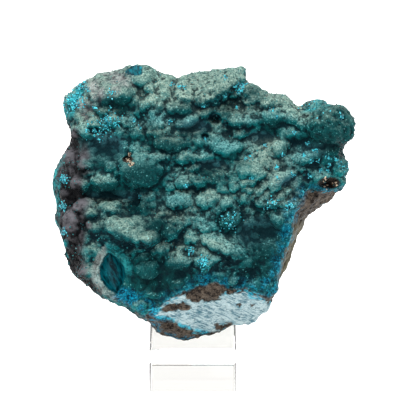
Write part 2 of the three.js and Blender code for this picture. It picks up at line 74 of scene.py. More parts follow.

# %% [markdown]
# ## The lumps of the crust
# Chrysocolla grows outwards from many points at once, so its skin is a crowd of round lumps that run into each
# other. The lumps that catch the eye are listed one by one, where the photograph shows them. Each row is X, Z, half
# width, half height and the turn of its long side in degrees.

# %% Lumps listed one by one
BOLD_LUMPS = [
    (-25.5, 85.5, 6.8, 4.1, 0), (6.9, 85.8, 8.5, 4.1, 35), (-17.3, 58.9, 7.5, 5.8, 0),
    (-20.4, 38.4, 9.8, 4.2, -14), (-7.4, 39.8, 4.1, 4.4, 0), (12, 66.4, 4.1, 3.1, 0),
    (46.8, 74.6, 8.2, 6.6, 0), (51.2, 72.2, 3.6, 3.9, 0), (41.3, 80.6, 4.1, 2.6, 0),
    (10.4, 33.2, 9.5, 3.2, -25), (0.8, 55.7, 6.8, 2.9, 0), (-40.5, 41.5, 3.8, 4.6, 0),
    (-29.9, 55.8, 4.4, 3.1, 0), (-16.3, 26.5, 4.4, 4.1, 0), (-3.3, 49.2, 4.3, 3.1, 0),
    (4.6, 49.3, 4.4, 3.1, 0), (-41.2, 63.3, 3.1, 2.6, 0),
]
TOP_LEFT_LUMPS = [
    (-14.6, 87.2, 3.1, 3.1, 0), (-29.9, 79.7, 2.7, 2.7, 0), (-26.5, 77, 2.7, 2.7, 0),
    (-32.3, 80.7, 2, 2, 0), (-21.4, 75.6, 2.4, 2.4, 0), (-19, 71.8, 2.6, 2, 0),
    (-19, 66.4, 2.7, 2.7, 0), (-33.5, 87, 3.4, 2.6, 20), (-16, 81.4, 2.7, 2.7, 0),
    (-11.9, 81.7, 2.4, 2.4, 0), (-13.9, 78.3, 2.4, 2.4, 0), (-12.2, 75.4, 2.7, 2.7, 0),
    (-11.9, 71.6, 4.1, 2.4, 0), (-40.3, 82, 3, 3.2, 0), (-17.7, 90.8, 5.9, 4.4, 0),
]
TOP_LUMPS = [
    (-8.8, 89.4, 3.1, 2.2, 0), (-3, 89, 3.1, 1.9, 0), (-9.8, 85.5, 2.7, 2.7, 0),
    (-2.8, 84.3, 3.6, 2.9, 0), (-4.4, 80.2, 4.8, 2.7, 0), (-2.3, 76.3, 4.1, 2.7, 0),
    (-8.7, 68.4, 5.3, 2.7, 0), (12.6, 90.2, 4.2, 3.2, 0),
]
MIDDLE_LUMPS = [
    (-2, 64, 3.4, 2.7, 0), (3.1, 64.3, 2.7, 2.4, 0), (15.4, 71.5, 2.7, 2, 0),
    (17.8, 75.8, 6.5, 2.2, 0), (-11.2, 63.4, 4.1, 2, 0), (19.5, 85.4, 2.2, 2.2, 0),
    (27.3, 77.4, 3.4, 3.1, 0), (24.6, 81.6, 2.6, 2, -20), (-7.8, 54.1, 2.4, 2.2, 0),
    (10.6, 48, 2.4, 2.2, 0), (3.8, 40.1, 4.1, 2.6, 0), (-0.6, 36.4, 3.4, 2.6, 0),
    (13, 43.1, 3.2, 4.1, 0), (13.4, 54.1, 2.6, 2.2, 0), (-1.5, 59.8, 3.2, 1.9, 0),
    (9, 45, 2.1, 1.7, 0),
]
RIGHT_LUMPS = [
    (33.8, 77.3, 4.1, 2.7, 0), (39.3, 74.6, 3.4, 2.4, 0), (31.8, 71.6, 3.4, 2.1, 0),
    (29.4, 67.4, 4.8, 2.1, 15), (49.8, 60.2, 2.8, 3.3, 0), (19.5, 59.2, 5.5, 3.4, 0),
    (28.5, 56, 6.2, 2.3, 30), (38, 63.4, 6.4, 2.4, 30), (43.6, 56.8, 4.2, 2.2, 20),
]
LEFT_LUMPS = [
    (-37.8, 54.8, 3.4, 3.1, 0), (-42.2, 50.6, 2.8, 2.8, 0), (-36.8, 46.8, 4.4, 2.2, 0),
    (-41.3, 34.6, 2.4, 2.6, 0), (-36.4, 61, 2.7, 2.4, 0), (-38.8, 72, 2.6, 2.6, 0),
    (-27.6, 59.8, 2.9, 2.2, 0), (-28.2, 46.1, 4.4, 2.4, 0), (-33.2, 39.8, 3.3, 2.6, 0),
    (-32.7, 32.6, 2.9, 2.9, 0), (-15.3, 50.6, 3.6, 3.2, 0), (-14.6, 46.6, 3.2, 1.9, 0),
]
LOWER_LUMPS = [
    (-10.5, 32.6, 2.6, 2.4, 0), (-4.4, 28.3, 4.8, 2.9, 0), (4.2, 28.6, 4, 3.3, 0),
    (18.1, 28.5, 4.1, 2.9, 0), (26, 32.4, 3.6, 2.7, -10), (25.6, 24.6, 2.9, 2.6, 0),
    (29.6, 42.9, 2.9, 2.9, 0), (20.6, 20.8, 3, 2.4, 0), (13.4, 22.6, 3.2, 2.4, 0),
    (-6.6, 21.6, 4.4, 2.6, -20), (-14.4, 17.6, 3.8, 2.8, -25), (-36, 25.2, 3, 2.6, 30),
    (26.4, 48.6, 3.4, 2.6, 40),
]
HAND_LUMPS = (BOLD_LUMPS + TOP_LEFT_LUMPS + TOP_LUMPS + MIDDLE_LUMPS + RIGHT_LUMPS + LEFT_LUMPS
              + LOWER_LUMPS)
print("lumps placed by hand:", len(HAND_LUMPS))

# %% [markdown]
# ## Slanted folds
# Left of the broken right edge the crust isn't round but drawn into short slanted ridges, as if it had run down
# before it set. They are long, narrow lumps with a turned long side, so the same rows describe them.

# %% Folds listed one by one
FOLDS = [
    (18.8, 58.6, 3.4, 1.2, 44), (21.8, 56.6, 5, 1.1, 34), (23.8, 53.6, 3.6, 1.3, 46), (19.3, 52.2, 2.6, 1.2, 36),
    (26.5, 57.6, 3.2, 1.4, 30), (28.2, 53.6, 4.6, 1, 40), (31.2, 56.8, 3, 1.3, 28), (23.4, 49.5, 2.8, 1.2, 48),
    (27.9, 48.8, 3.8, 1, 36), (32.6, 51.6, 2.6, 1.2, 42), (18, 55.4, 2.4, 1.2, 30), (34.8, 58.6, 4, 1.1, 26),
]
print("folds:", len(FOLDS))

# %% [markdown]
# ## A smooth core
# The solid model's stone is faceted. A copy of it, brought back to its own upright frame, is remeshed to small
# even squares and smoothed, so that the facets go and only the form is left. A sculptor would start from the same
# kind of blank. The lumps are then set into it.

# %% Core from the solid
CORE_VOXEL = 0.8
CORE_SMOOTHING = 5


def apply_all_modifiers(piece):
    bpy.context.view_layer.objects.active = piece
    for name in [modifier.name for modifier in piece.modifiers]:
        bpy.ops.object.modifier_apply(modifier=name)


def voxel_remesh(piece, size):
    remesh = piece.modifiers.new("remesh", "REMESH")
    remesh.mode = "VOXEL"
    remesh.voxel_size = size
    apply_all_modifiers(piece)


def smooth(piece, times, factor=0.5):
    softer = piece.modifiers.new("smooth", "SMOOTH")
    softer.factor = factor
    softer.iterations = times
    apply_all_modifiers(piece)


core = bpy.data.objects.new("core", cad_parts["chrysocolla_specimen"].data.copy())
bpy.context.collection.objects.link(core)
core.data.materials.clear()
core.data.transform(stone_to_world.inverted())
bm = bmesh.new()
bm.from_mesh(core.data)
bmesh.ops.remove_doubles(bm, verts=bm.verts, dist=0.001)
bm.to_mesh(core.data)
bm.free()
voxel_remesh(core, CORE_VOXEL)
smooth(core, CORE_SMOOTHING)
print("core:", len(core.data.vertices), "points")

# %% [markdown]
# ## Lumps set into the core
# One ball is modelled: a sphere from the add menu whose front is made to droop, because the real lumps hang over
# a little and are dark underneath. Copies of it are stretched, turned and pushed into the core at the depth where
# a straight line from the front meets the surface, so each one sits on what carries it.

# %% Ball and copies
LUMP_DEPTH = 0.95  # half depth for the mean of the half width and half height
LUMP_SINK = 0.78  # how far the middle lies behind the surface, as a share of the half depth
FOLD_SINK = 0.5  # folds are thin, so they stand further out
LOWER_SINK = 0.92  # the lumps near the bottom are flatter
DROOP = 0.35  # how much more the lower front stands out than the upper front
FAR_IN_FRONT = -200.0


def ball_mesh(subdivisions):
    bpy.ops.mesh.primitive_ico_sphere_add(subdivisions=subdivisions, radius=1)
    ball = bpy.context.object
    for corner in ball.data.vertices:
        if corner.co.y < 0:
            corner.co.y *= 1 - DROOP * corner.co.z
    made = ball.data.copy()
    bpy.data.objects.remove(ball)
    return made


def surface_tree(piece):
    bm = bmesh.new()
    bm.from_mesh(piece.data)
    tree = BVHTree.FromBMesh(bm)
    bm.free()
    return tree


def front_at(tree, x, z):
    point, normal, _, _ = tree.ray_cast(Vector((x, FAR_IN_FRONT, z)), Vector((0, 1, 0)))
    return point, normal


def stretched(size, turn, place):
    turned = Matrix.Rotation(-math.radians(turn), 4, "Y")
    return Matrix.Translation(place) @ turned @ Matrix.Diagonal((*size, 1))


def add_copies(piece, mesh, matrices):
    bm = bmesh.new()
    bm.from_mesh(piece.data)
    for matrix in matrices:
        one = mesh.copy()
        one.transform(matrix)
        bm.from_mesh(one)
        bpy.data.meshes.remove(one)
    bm.to_mesh(piece.data)
    bm.free()


def sink_of(row):
    if row in FOLDS:
        return FOLD_SINK
    return LOWER_SINK if row in LOWER_LUMPS else LUMP_SINK


# %% Set the lumps
big_ball = ball_mesh(4)
tree = surface_tree(core)
places = []
for row in HAND_LUMPS + FOLDS:
    x, z, half_width, half_height, turn = row
    point, _ = front_at(tree, x, z)
    if point is None:
        continue
    half_depth = LUMP_DEPTH * math.sqrt(half_width * half_height)
    middle = Vector((x, point.y + sink_of(row) * half_depth, z))
    places.append(stretched((half_width, half_depth, half_height), turn, middle))
add_copies(core, big_ball, places)
print("lumps set:", len(places))

# %% [markdown]
# ## Small lumps between and on the big ones
# Looked at closely, every lump is made of smaller ones. Eight hundred seeded random places are tried, so each run
# gives the same stone. They keep off the broken rock at the right and at the bottom, where the crust is missing,
# and only the smallest go between the folds.

# %% Where small lumps may go
SMALL_LUMPS = 800
SMALL_RADIUS = (1.1, 3.3)
SCATTER_BOX = ((-48, 56), (8, 96))
SMALL_WIDE = (0.85, 1.6)
SMALL_SQUASH = (0.6, 1.0)
SMALL_TURN = (12, 20)  # mean and spread in degrees
SMALL_DEPTH = 0.9
SMALL_SINK = 0.62
FACES_FORWARD = -0.3  # a place counts as front where the normal's Y is under this
FOLDS_X = (16, 36)
FOLDS_Z = (47, 61)
FOLDS_RADIUS = 1.6
BARE_BOTTOM = [
    (-15, 10), (-9.5, 14.2), (-2.7, 16.6), (0.8, 19.3), (7.6, 21), (13.4, 18.3), (21.2, 17.3), (29, 15.9),
]
BARE_RIGHT = [
    (52, 52.2), (44, 52.2), (37.6, 51.7), (35.5, 46.3), (33.8, 40.8), (33.1, 34.7), (30.8, 29.2), (28.6, 18),
]
rng = np.random.default_rng(7)


def is_crust(x, z):
    low = np.interp(x, [p[0] for p in BARE_BOTTOM], [p[1] for p in BARE_BOTTOM], left=0)
    heights = [p[1] for p in reversed(BARE_RIGHT)]
    right = np.interp(z, heights, [p[0] for p in reversed(BARE_RIGHT)], right=99)
    return z > low and x < right


def too_big_for_folds(x, z, radius):
    among_folds = FOLDS_X[0] < x < FOLDS_X[1] and FOLDS_Z[0] < z < FOLDS_Z[1]
    return among_folds and radius > FOLDS_RADIUS


print("small lumps tried:", SMALL_LUMPS)

# %% Scatter the small lumps
small_ball = ball_mesh(2)
tree = surface_tree(core)
places = []
for _ in range(SMALL_LUMPS):
    x = rng.uniform(*SCATTER_BOX[0])
    z = rng.uniform(*SCATTER_BOX[1])
    radius = SMALL_RADIUS[0] + (SMALL_RADIUS[1] - SMALL_RADIUS[0]) * rng.random() ** 2
    wide = rng.uniform(*SMALL_WIDE)
    squash = rng.uniform(*SMALL_SQUASH)
    turn = rng.normal(*SMALL_TURN)
    point, normal = front_at(tree, x, z)
    if point is None or normal.y > FACES_FORWARD or not is_crust(x, z) or too_big_for_folds(x, z, radius):
        continue
    size = (radius * wide, radius * SMALL_DEPTH, radius * squash)
    places.append(stretched(size, turn, point - normal * radius * SMALL_SINK))
add_copies(core, small_ball, places)
print("small lumps:", len(places))

# %% [markdown]
# ## One skin over everything
# A second, finer remesh turns core and lumps into one closed skin. Smoothing then rounds the creases where lumps
# meet, because real lumps grow into each other and don't lie side by side like pebbles.

# %% Fine remesh
SKIN_VOXEL = 0.40
SKIN_SMOOTHING = 24
skin = core
skin.name = "chrysocolla_stone"
voxel_remesh(skin, SKIN_VOXEL)
smooth(skin, SKIN_SMOOTHING)
print("skin:", len(skin.data.vertices), "points")

# %% [markdown]
# ## Where each kind of surface lies
# The stone has several skins: the dark teal crust, a purple-brown side, turquoise and bright blue edges, a white
# fibrous break at the bottom, and bare brown rock. Each gets a mask, a number from 0 to 1 at each point of the
# mesh. The masks are drawn as soft-edged areas in the stone's upright frame, and noise makes their edges wander.

# %% Noise and domes


def hashed(i, j, k, seed):
    value = np.sin(i * 127.1 + j * 311.7 + k * 74.7 + seed * 19.19) * 43758.5453
    return value - np.floor(value)


def noise_at(points, grain, seed=0):
    scaled = points / grain
    cell = np.floor(scaled)
    part = scaled - cell
    part = part * part * (3 - 2 * part)
    total = np.zeros(len(points))
    for corner in range(8):
        step = [(corner >> axis) & 1 for axis in range(3)]
        weight = np.prod([part[:, a] if step[a] else 1 - part[:, a] for a in range(3)], axis=0)
        total += weight * hashed(cell[:, 0] + step[0], cell[:, 1] + step[1], cell[:, 2] + step[2], seed)
    return 2 * total - 1


def domes_at(points, size, seed):
    """Round domes packed side by side, 1 at the top of each and 0 in the creases between them."""
    scaled = points / size
    cell = np.floor(scaled)
    nearest = np.full(len(points), 9.0)
    for i in (-1, 0, 1):
        for j in (-1, 0, 1):
            for k in (-1, 0, 1):
                at = cell + (i, j, k)
                shift = [hashed(at[:, 0], at[:, 1], at[:, 2], seed + part) for part in (1, 2, 3)]
                middle = at + 0.1 + 0.8 * np.stack(shift, axis=1)
                nearest = np.minimum(nearest, ((scaled - middle) ** 2).sum(axis=1))
    return np.sqrt(np.clip(1 - nearest / 0.72, 0, 1))


# %% Mask tools


def ramp(values, low, high):
    part = np.clip((values - low) / (high - low), 0, 1)
    return part * part * (3 - 2 * part)


def spots(points, places, soft=0.5):
    """A mask of soft ellipses: each place is X, Z, half width and half height."""
    mask = np.zeros(len(points))
    for x, z, half_width, half_height in places:
        away = np.hypot((points[:, 0] - x) / half_width, (points[:, 2] - z) / half_height)
        mask = np.maximum(mask, 1 - ramp(away, 1 - soft, 1 + soft))
    return mask


def inside_depth(points, outline):
    """How far inside an outline in X and Z each point lies, negative outside."""
    x = points[:, 0]
    z = points[:, 2]
    nearest = np.full(len(points), 1e9)
    inside = np.zeros(len(points), bool)
    for start, end in zip(outline, outline[1:] + outline[:1]):
        side = (end[0] - start[0], end[1] - start[1])
        length = side[0] ** 2 + side[1] ** 2
        share = np.clip(((x - start[0]) * side[0] + (z - start[1]) * side[1]) / length, 0, 1)
        distance = np.hypot(x - start[0] - share * side[0], z - start[1] - share * side[1])
        nearest = np.minimum(nearest, distance)
        crosses = (start[1] > z) != (end[1] > z)
        with np.errstate(divide="ignore", invalid="ignore"):
            where = start[0] + (z - start[1]) * side[0] / (side[1] if side[1] else 1e-9)
        inside ^= crosses & (x < where)
    return np.where(inside, nearest, -nearest)


def area(points, outline, soft=1.0, wander=1.2, grain=3.0, seed=0):
    """A mask that is 1 inside the outline and 0 outside, with a soft wandering edge."""
    shifted = inside_depth(points, outline) + wander * noise_at(points, grain, seed)
    return ramp(shifted, -soft, soft)


# %% Mesh readers


def points_of(mesh):
    flat = np.empty(len(mesh.vertices) * 3, np.float32)
    mesh.vertices.foreach_get("co", flat)
    return flat.reshape(-1, 3).astype(np.float64)


def normals_of(mesh):
    flat = np.empty(len(mesh.vertices) * 3, np.float32)
    mesh.vertices.foreach_get("normal", flat)
    return flat.reshape(-1, 3).astype(np.float64)


# %% [markdown]
# ## Areas of the stone
# Each area is a short list of X, Z corners as seen square to the crust. Bare rock is everything behind the face,
# and the broken faces at the right and at the bottom.

# %% Areas
BROKEN_RIGHT = [
    (37.6, 51.9), (56, 52.6), (56, 40), (40, 38), (36, 26), (31, 14), (29.2, 17), (28.9, 23.4),
    (30.4, 29.2), (32.6, 34.7), (34.3, 38.1), (33.6, 40.8), (34.3, 42.9), (35.4, 46.3), (37, 49),
]
BROKEN_BOTTOM = [
    (-16, 10.4), (-12.2, 11.9), (-7.8, 15.3), (0.8, 19.7), (7.6, 21.4), (13.4, 18.8), (17, 19),
    (21.2, 17.6), (26.3, 16.2), (28.6, 17.4), (32, 14), (30, -3), (-18, -3),
]
WHITE_FIBRES = [
    (-12.5, 9.4), (-10.6, 13.4), (-6.1, 16), (-1, 17), (4.2, 16), (7.9, 16.6), (10, 17.4), (14, 18),
    (18.8, 17.4), (23.6, 15.4), (27.4, 13.4), (26.4, 9.6), (21.8, 5.6), (17.8, 4), (13.4, 5.4),
    (10, 4.3), (5.9, 3.2), (0.8, 3.8), (-4.4, 6.4), (-8.5, 8.8),
]
BROWN_PATCHES = [
    [(-2.5, 15.2), (-2, 18.6), (1, 20.4), (7.4, 21.8), (12, 20), (10.4, 17), (8.6, 14.8), (4, 14.2)],
    [(10.5, 20), (14.8, 19.4), (14, 16.8), (10.8, 16.6)],
    [(-11.4, 11.4), (-8, 13.8), (-3, 13.9), (-0.5, 12.6), (-1, 11), (-6, 11.2), (-9, 10.4)],
    [(7, 6.4), (13.4, 6.8), (13.6, 4.6), (8, 4.2)],
    [(24.4, 16.8), (28, 17), (28.4, 13.6), (25.2, 13.8)],
    [(14.8, 13.2), (15.6, 14.2), (16.8, 13.6), (16, 12.4)],
    [(19, 13.2), (20, 14), (21, 13.4), (20, 12.4)],
]
PURPLE_SIDE = [
    (-60, 74), (-42, 73), (-38.5, 71), (-37, 62), (-35.2, 50), (-36.4, 40), (-35.7, 27.9), (-33, 20),
    (-30, 10), (-60, 10),
]
PINKISH_TOP = [(-38.5, 91), (-22.5, 94), (-21.5, 88), (-24, 85), (-33, 84), (-36, 77), (-40, 79)]
TURQUOISE_CORNER = [(-46, 77), (-42.5, 88), (-37, 90.5), (-36.5, 86), (-38.5, 81), (-40.5, 76.5)]
TURQUOISE_RIM = [
    (-60, 66), (-43.5, 64.5), (-45.6, 58), (-46.2, 52), (-46.2, 44), (-45, 38), (-43.4, 34.5),
    (-42.6, 29), (-40.6, 24), (-60, 20),
]
KNOB_TOP = [(36.5, 78.5), (38, 83.4), (42, 84.6), (46.5, 83), (47, 80.4), (42, 78.6)]
BLUE_BAND = [
    (-25.5, 19), (-19.7, 18.3), (-14.6, 14.9), (-11.2, 10.8), (-8.6, 7.4), (-11.9, 7.6), (-18, 11.2),
    (-23.1, 13.9), (-27.6, 15.6),
]
BLUE_RIGHT = [
    (38.4, 51.9), (38, 49), (36.2, 46.3), (35, 42.9), (34.4, 40.8), (35.2, 38.1), (33.4, 34.7),
    (31.4, 29.2), (29.8, 23), (29.2, 17), (25, 16), (21, 18), (24, 22.5), (26.4, 25.4), (28.4, 32),
    (30.6, 38), (31.4, 44), (33.4, 49), (36, 51.9),
]
BOTTOM_TEAL = [
    (-15.5, 7), (-13.4, 3.4), (-9.5, 0.8), (-3, 0), (1.5, 0.6), (0, 2.4), (-5, 2.6), (-9.4, 3.6), (-12, 6.4),
    (-14, 9),
]
print("brown patches:", len(BROWN_PATCHES))

# %% [markdown]
# ## Breaks, pits and quiet places
# At the top left one lump is cut off flat. Its break is a plane through one corner of a small outline. The pits are
# small hollows. The smooth basins and lumps have less fine relief than the rest, and the dust-and-sheen, cool and
# dark spots only change the colour; the first get more of the pale bloom, which is partly dust and partly painted
# sheen.

# %% Breaks, pits and spots
SPLIT_FACE = [
    (-23.9, 93), (-22.8, 92), (-21.2, 91.4), (-19, 91.2), (-17.1, 91.5), (-17.1, 99), (-25, 99),
]
SPLIT_NORMAL = (-0.45, -0.8, 0.4)
SPLIT_CORNER = (-17.1, 92)
SPLIT_DEPTH = 1.3
PITS = [  # X, Z, half width, half height, depth
    (46.4, 54.8, 4, 2, 3.2), (7.6, 76.4, 2.3, 2, 2.4), (4.2, 70.1, 1.6, 1.5, 2), (-22, 62.8, 1.9, 1.2, 3),
    (-33.8, 72.6, 2.2, 1.6, 2), (40.8, 51.6, 5, 1.2, 2),
]
SMOOTH_BASINS = [
    (-29.6, 66.7, 8, 5.5), (0.1, 73.9, 6.5, 3), (22.9, 69.8, 5, 3), (21.9, 38.1, 8.5, 6), (6.5, 60.9, 6, 2),
    (-26, 50.5, 11, 2), (31, 56, 6, 2.6), (41, 66, 6, 3),
]
SMOOTH_LUMPS = [
    (-17.3, 58.9, 6, 3.5), (-20.4, 38.4, 9.5, 4), (10.4, 33.2, 7, 3), (-25.5, 85.5, 6, 3.5),
    (-12, 22, 14, 5), (-4.4, 80, 5, 3), (12, 66.4, 4.5, 3.3), (-17.7, 91, 5.5, 4), (19.5, 59.2, 5, 3),
]
# Places with more of the pale bloom, which is partly dust and partly painted sheen.
DUST_AND_SHEEN_SPOTS = [
    (-6, 85, 18, 6), (12, 86, 7, 5), (36, 80, 5, 4), (24, 66, 9, 5), (27, 51, 10, 5), (-29, 79, 9, 6),
    (22, 44, 7, 6), (3, 32, 10, 5), (1, 46, 12, 3), (-38, 84, 8, 8), (20, 82, 8, 5), (2, 81, 4, 3),
    (-12, 75, 6, 4), (-17, 36, 8, 3), (34, 62, 10, 4), (34, 51, 4, 4),
]
COOL_SPOTS = [
    (24, 32, 13, 15), (8, 25, 15, 6), (10, 42, 10, 6), (-28, 67, 10, 7), (-15, 57, 11, 7), (10, 67, 10, 4),
    (-20, 27, 10, 6), (-12, 77, 12, 3), (41, 63, 10, 8), (25, 75, 9, 4), (-8, 49, 9, 3),
    (12.8, 42, 5, 5),
]
DARK_SPOTS = [
    (47, 72, 12, 9), (-9, 69, 12, 4.5), (13, 80, 3, 2.5), (-4, 80.5, 3.5, 2.5), (27, 74.5, 5, 3),
    (-28, 53, 9, 3), (-12, 40, 7, 3.5), (43, 52.5, 5, 2.5), (-18, 58, 8, 6), (-25.5, 81, 8, 3.5),
    (26, 32, 10, 11), (-12, 22, 14, 6), (-29, 63, 8, 5), (7, 57.5, 8, 3.5), (17, 63, 5, 3), (-18, 46, 6, 3),
    (-15, 28, 6, 3), (49, 79, 6, 7), (12.8, 42, 4.5, 4.5), (20, 86.3, 3, 2.5),
]
print("dusty spots:", len(DUST_AND_SHEEN_SPOTS), "cool:", len(COOL_SPOTS), "dark:", len(DARK_SPOTS))


def broken_faces(points):
    """The two broken faces, at the right and at the bottom."""
    return np.maximum(
        area(points, BROKEN_RIGHT, 0.5, 0.8, 2.0, 1), area(points, BROKEN_BOTTOM, 0.5, 0.8, 2.0, 2)
    )


def back_faces(points, normals):
    """The bare rock behind the crust's edge."""
    return ramp(points[:, 1] + 2 * noise_at(points, 5, 3), 15, 18) * ramp(normals[:, 1], -0.45, -0.1)


# %% [markdown]
# ## The broken lump
# At the lower left one lump is split open. The real one shows a spindle-shaped hollow with a dark, glassy wall
# and a pale shell around it. Points of the skin inside the spindle are pushed back to a smooth bowl.

# %% Hollow of the broken lump
SPINDLE_MIDDLE = (-27.2, 24.2)
SPINDLE_HALF = (4.3, 7.2)
SPINDLE_TURN = math.radians(11)
SPINDLE_DEPTH = 4.2
SHELL_WIDTH = 3.2


def spindle_frame(points):
    """Across and along the spindle from its middle."""
    x = points[:, 0] - SPINDLE_MIDDLE[0]
    z = points[:, 2] - SPINDLE_MIDDLE[1]
    across = x * math.cos(SPINDLE_TURN) + z * math.sin(SPINDLE_TURN)
    along = z * math.cos(SPINDLE_TURN) - x * math.sin(SPINDLE_TURN)
    return across, along


def spindle_share(points, grown=0.0):
    """0 in the middle of the spindle, 1 at its edge, more outside; it can be grown by a width all round."""
    across, along = spindle_frame(points)
    half_width = SPINDLE_HALF[0] + grown
    half_height = SPINDLE_HALF[1] + grown
    width = np.maximum(1e-3, 1 - (along / half_height) ** 2)
    return np.where(np.abs(along) < half_height, np.abs(across) / (half_width * width), 9.0)


# %% [markdown]
# ## Press in the pits and the breaks
# Three things are pushed into the skin before any fine relief: the pits, the flat cut at the top left and the bowl
# of the broken lump. Only points on the crust's side move, so the back stays as it is.

# %% Pits
FOOT_OF_CUT = 0.6  # how wide round the cut's corner its depth is measured
points = points_of(skin.data)
normals = normals_of(skin.data)
behind = back_faces(points, normals)
bare = np.maximum(broken_faces(points), behind)
for x, z, half_width, half_height, depth in PITS:
    away = ((points[:, 0] - x) / half_width) ** 2 + ((points[:, 2] - z) / half_height) ** 2
    facing = ramp(-normals[:, 1], 0, 0.4)
    points[:, 1] += depth * facing * np.clip(1 - away, 0, 1)
print("pits:", len(PITS))

# %% Flat cut
near_corner = np.hypot(points[:, 0] - SPLIT_CORNER[0] + 0.5, points[:, 2] - SPLIT_CORNER[1]) < FOOT_OF_CUT
split_start = points[near_corner, 1].min() + SPLIT_DEPTH


def split_plane(points):
    """The Y of the flat break at each point's X and Z."""
    slope = (points[:, 0] - SPLIT_CORNER[0]) * SPLIT_NORMAL[0] + (points[:, 2] - SPLIT_CORNER[1]) * SPLIT_NORMAL[2]
    return split_start - slope / SPLIT_NORMAL[1]


inside_split = inside_depth(points, SPLIT_FACE) > 0
on_split = inside_split & (normals[:, 1] < 0.3) & (points[:, 1] < split_plane(points))
points[on_split, 1] = split_plane(points)[on_split]
print("points on the flat cut:", int(on_split.sum()))

# %% Bowl of the broken lump
in_spindle = (spindle_share(points) < 1) & (points[:, 1] < 18) & (normals[:, 1] < 0.2)
share = spindle_share(points)
opening = np.median(points[in_spindle, 1]) if in_spindle.any() else 0
bowl = opening + SPINDLE_DEPTH * np.sqrt(np.clip(1 - share**2, 0, 1))
points[in_spindle, 1] = np.maximum(points[in_spindle, 1], bowl[in_spindle])
print("points in the hollow:", int(in_spindle.sum()))

# %% [markdown]
# ## Fine relief
# Real crust is made of domes on domes, down to a fraction of a millimetre, so three sizes of packed domes and three
# of noise are added along the normals. Bare rock gets rougher noise instead, and ledges where it faces back. The
# cut and the bowl stay nearly smooth, because they are glassy.

# %% Displace the skin
calm = spots(points, SMOOTH_BASINS + SMOOTH_LUMPS)
big_domes = domes_at(points, 6.5, 30)
mid_domes = domes_at(points, 3.1, 40)
fine_domes = domes_at(points, 1.5, 50)
crust_lift = 0.6 * big_domes + 0.45 * mid_domes + 0.3 * fine_domes - 0.75
crust_lift += 0.6 * noise_at(points, 4.5, 60) + 0.4 * noise_at(points, 1.7, 61) + 0.15 * noise_at(points, 0.8, 62)
crust_lift *= 1 - 0.5 * calm
rock_lift = 0.9 * noise_at(points, 4.5, 8) + 0.5 * noise_at(points, 1.8, 9) + 0.22 * noise_at(points, 0.8, 10)
ledges = 1.2 * noise_at(points, 9, 33) - 1.8 * np.abs(noise_at(points, 5.5, 34)) + 0.35
rock_lift += behind * ramp(normals[:, 1], 0.3, 0.7) * ledges
lift = (1 - bare) * crust_lift + bare * rock_lift
lift[in_spindle] *= 0.2
lift[on_split] *= 0.05
points += normals * lift[:, None]
skin.data.vertices.foreach_set("co", points.astype(np.float32).ravel())
skin.data.update()
print("bare rock share:", round(float(bare.mean()), 3))

# %% [markdown]
# ## Fewer triangles
# The skin is thinned where it is flat. Under two hundred thousand triangles is plenty at this size.

# %% Thin the skin
MOST_TRIANGLES = 195000
triangles = sum(len(face.vertices) - 2 for face in skin.data.polygons)
if triangles > MOST_TRIANGLES:
    thin = skin.modifiers.new("thin", "DECIMATE")
    thin.ratio = MOST_TRIANGLES / triangles
    apply_all_modifiers(skin)
print("triangles:", triangles, "then", sum(len(face.vertices) - 2 for face in skin.data.polygons))

# %% [markdown]
# ## Masks on the finished skin
# The masks are worked out again on the thinned mesh. They end up in seven colour attributes, which the material
# reads by name. First come the bare rock, the white fibrous break and the brown patches that lie in the white.

# %% Rock and white masks
PATCH_SEED = 20


def brown_patches(soft):
    mask = np.zeros(len(points))
    for number, outline in enumerate(BROWN_PATCHES):
        mask = np.maximum(mask, area(points, outline, soft, 0.9, 1.6, PATCH_SEED + number))
    return mask


points = points_of(skin.data)
normals = normals_of(skin.data)
broken = broken_faces(points)
back = back_faces(points, normals)
facing_front = 1 - ramp(normals[:, 1], 0.1, 0.4)
patches = brown_patches(0.15)
white = area(points, WHITE_FIBRES, 0.2, 1.0, 2.2, 11) * broken * (1 - patches)
rock = np.maximum(broken, back) * (1 - white)
front = 1 - rock - white
print("share of rock:", round(float(rock.mean()), 3), "white:", round(float(white.mean()), 3))

# %% [markdown]
# ## Purple, pinkish and turquoise
# The left side has purple-brown lumps, the top left a dull pinkish film. Turquoise sits at the left rim, on the
# knob and in patches on the back, where the crust has spread thinly over the rock.

# %% Purple, pinkish and turquoise masks
purple = area(points, PURPLE_SIDE, 2.2, 3.0, 4.5, 12)
pinkish = area(points, PINKISH_TOP, 2, 2, 4, 13) * ramp(noise_at(points, 2.6, 25), -0.8, 0.2)
corner = area(points, TURQUOISE_CORNER, 1, 1.6, 2, 14)
turquoise = np.maximum(corner, area(points, TURQUOISE_RIM, 0.7, 1.6, 2.5, 15))
turquoise *= ramp(noise_at(points, 3.2, 28) + 0.6 * noise_at(points, 1.3, 29), -0.6, 0.2)
turquoise = np.maximum(turquoise, 0.55 * area(points, KNOB_TOP, 0.8, 0.8, 1.6, 37))
patchy = noise_at(points, 9, 16) + 0.6 * noise_at(points, 3.5, 26) + 0.35 * noise_at(points, 1.4, 27)
turquoise = np.maximum(turquoise, 0.8 * ramp(patchy, 0.65, 0.95) * (back > 0.5))
print("share of purple:", round(float(purple.mean()), 3), "turquoise:", round(float(turquoise.mean()), 3))

# %% [markdown]
# ## Bright blue edges
# Where the crust ends against a break, its cut edge is a brighter blue than its skin. The blue follows the two
# breaks, with a wider band at the lower left and a thin seam under the white.

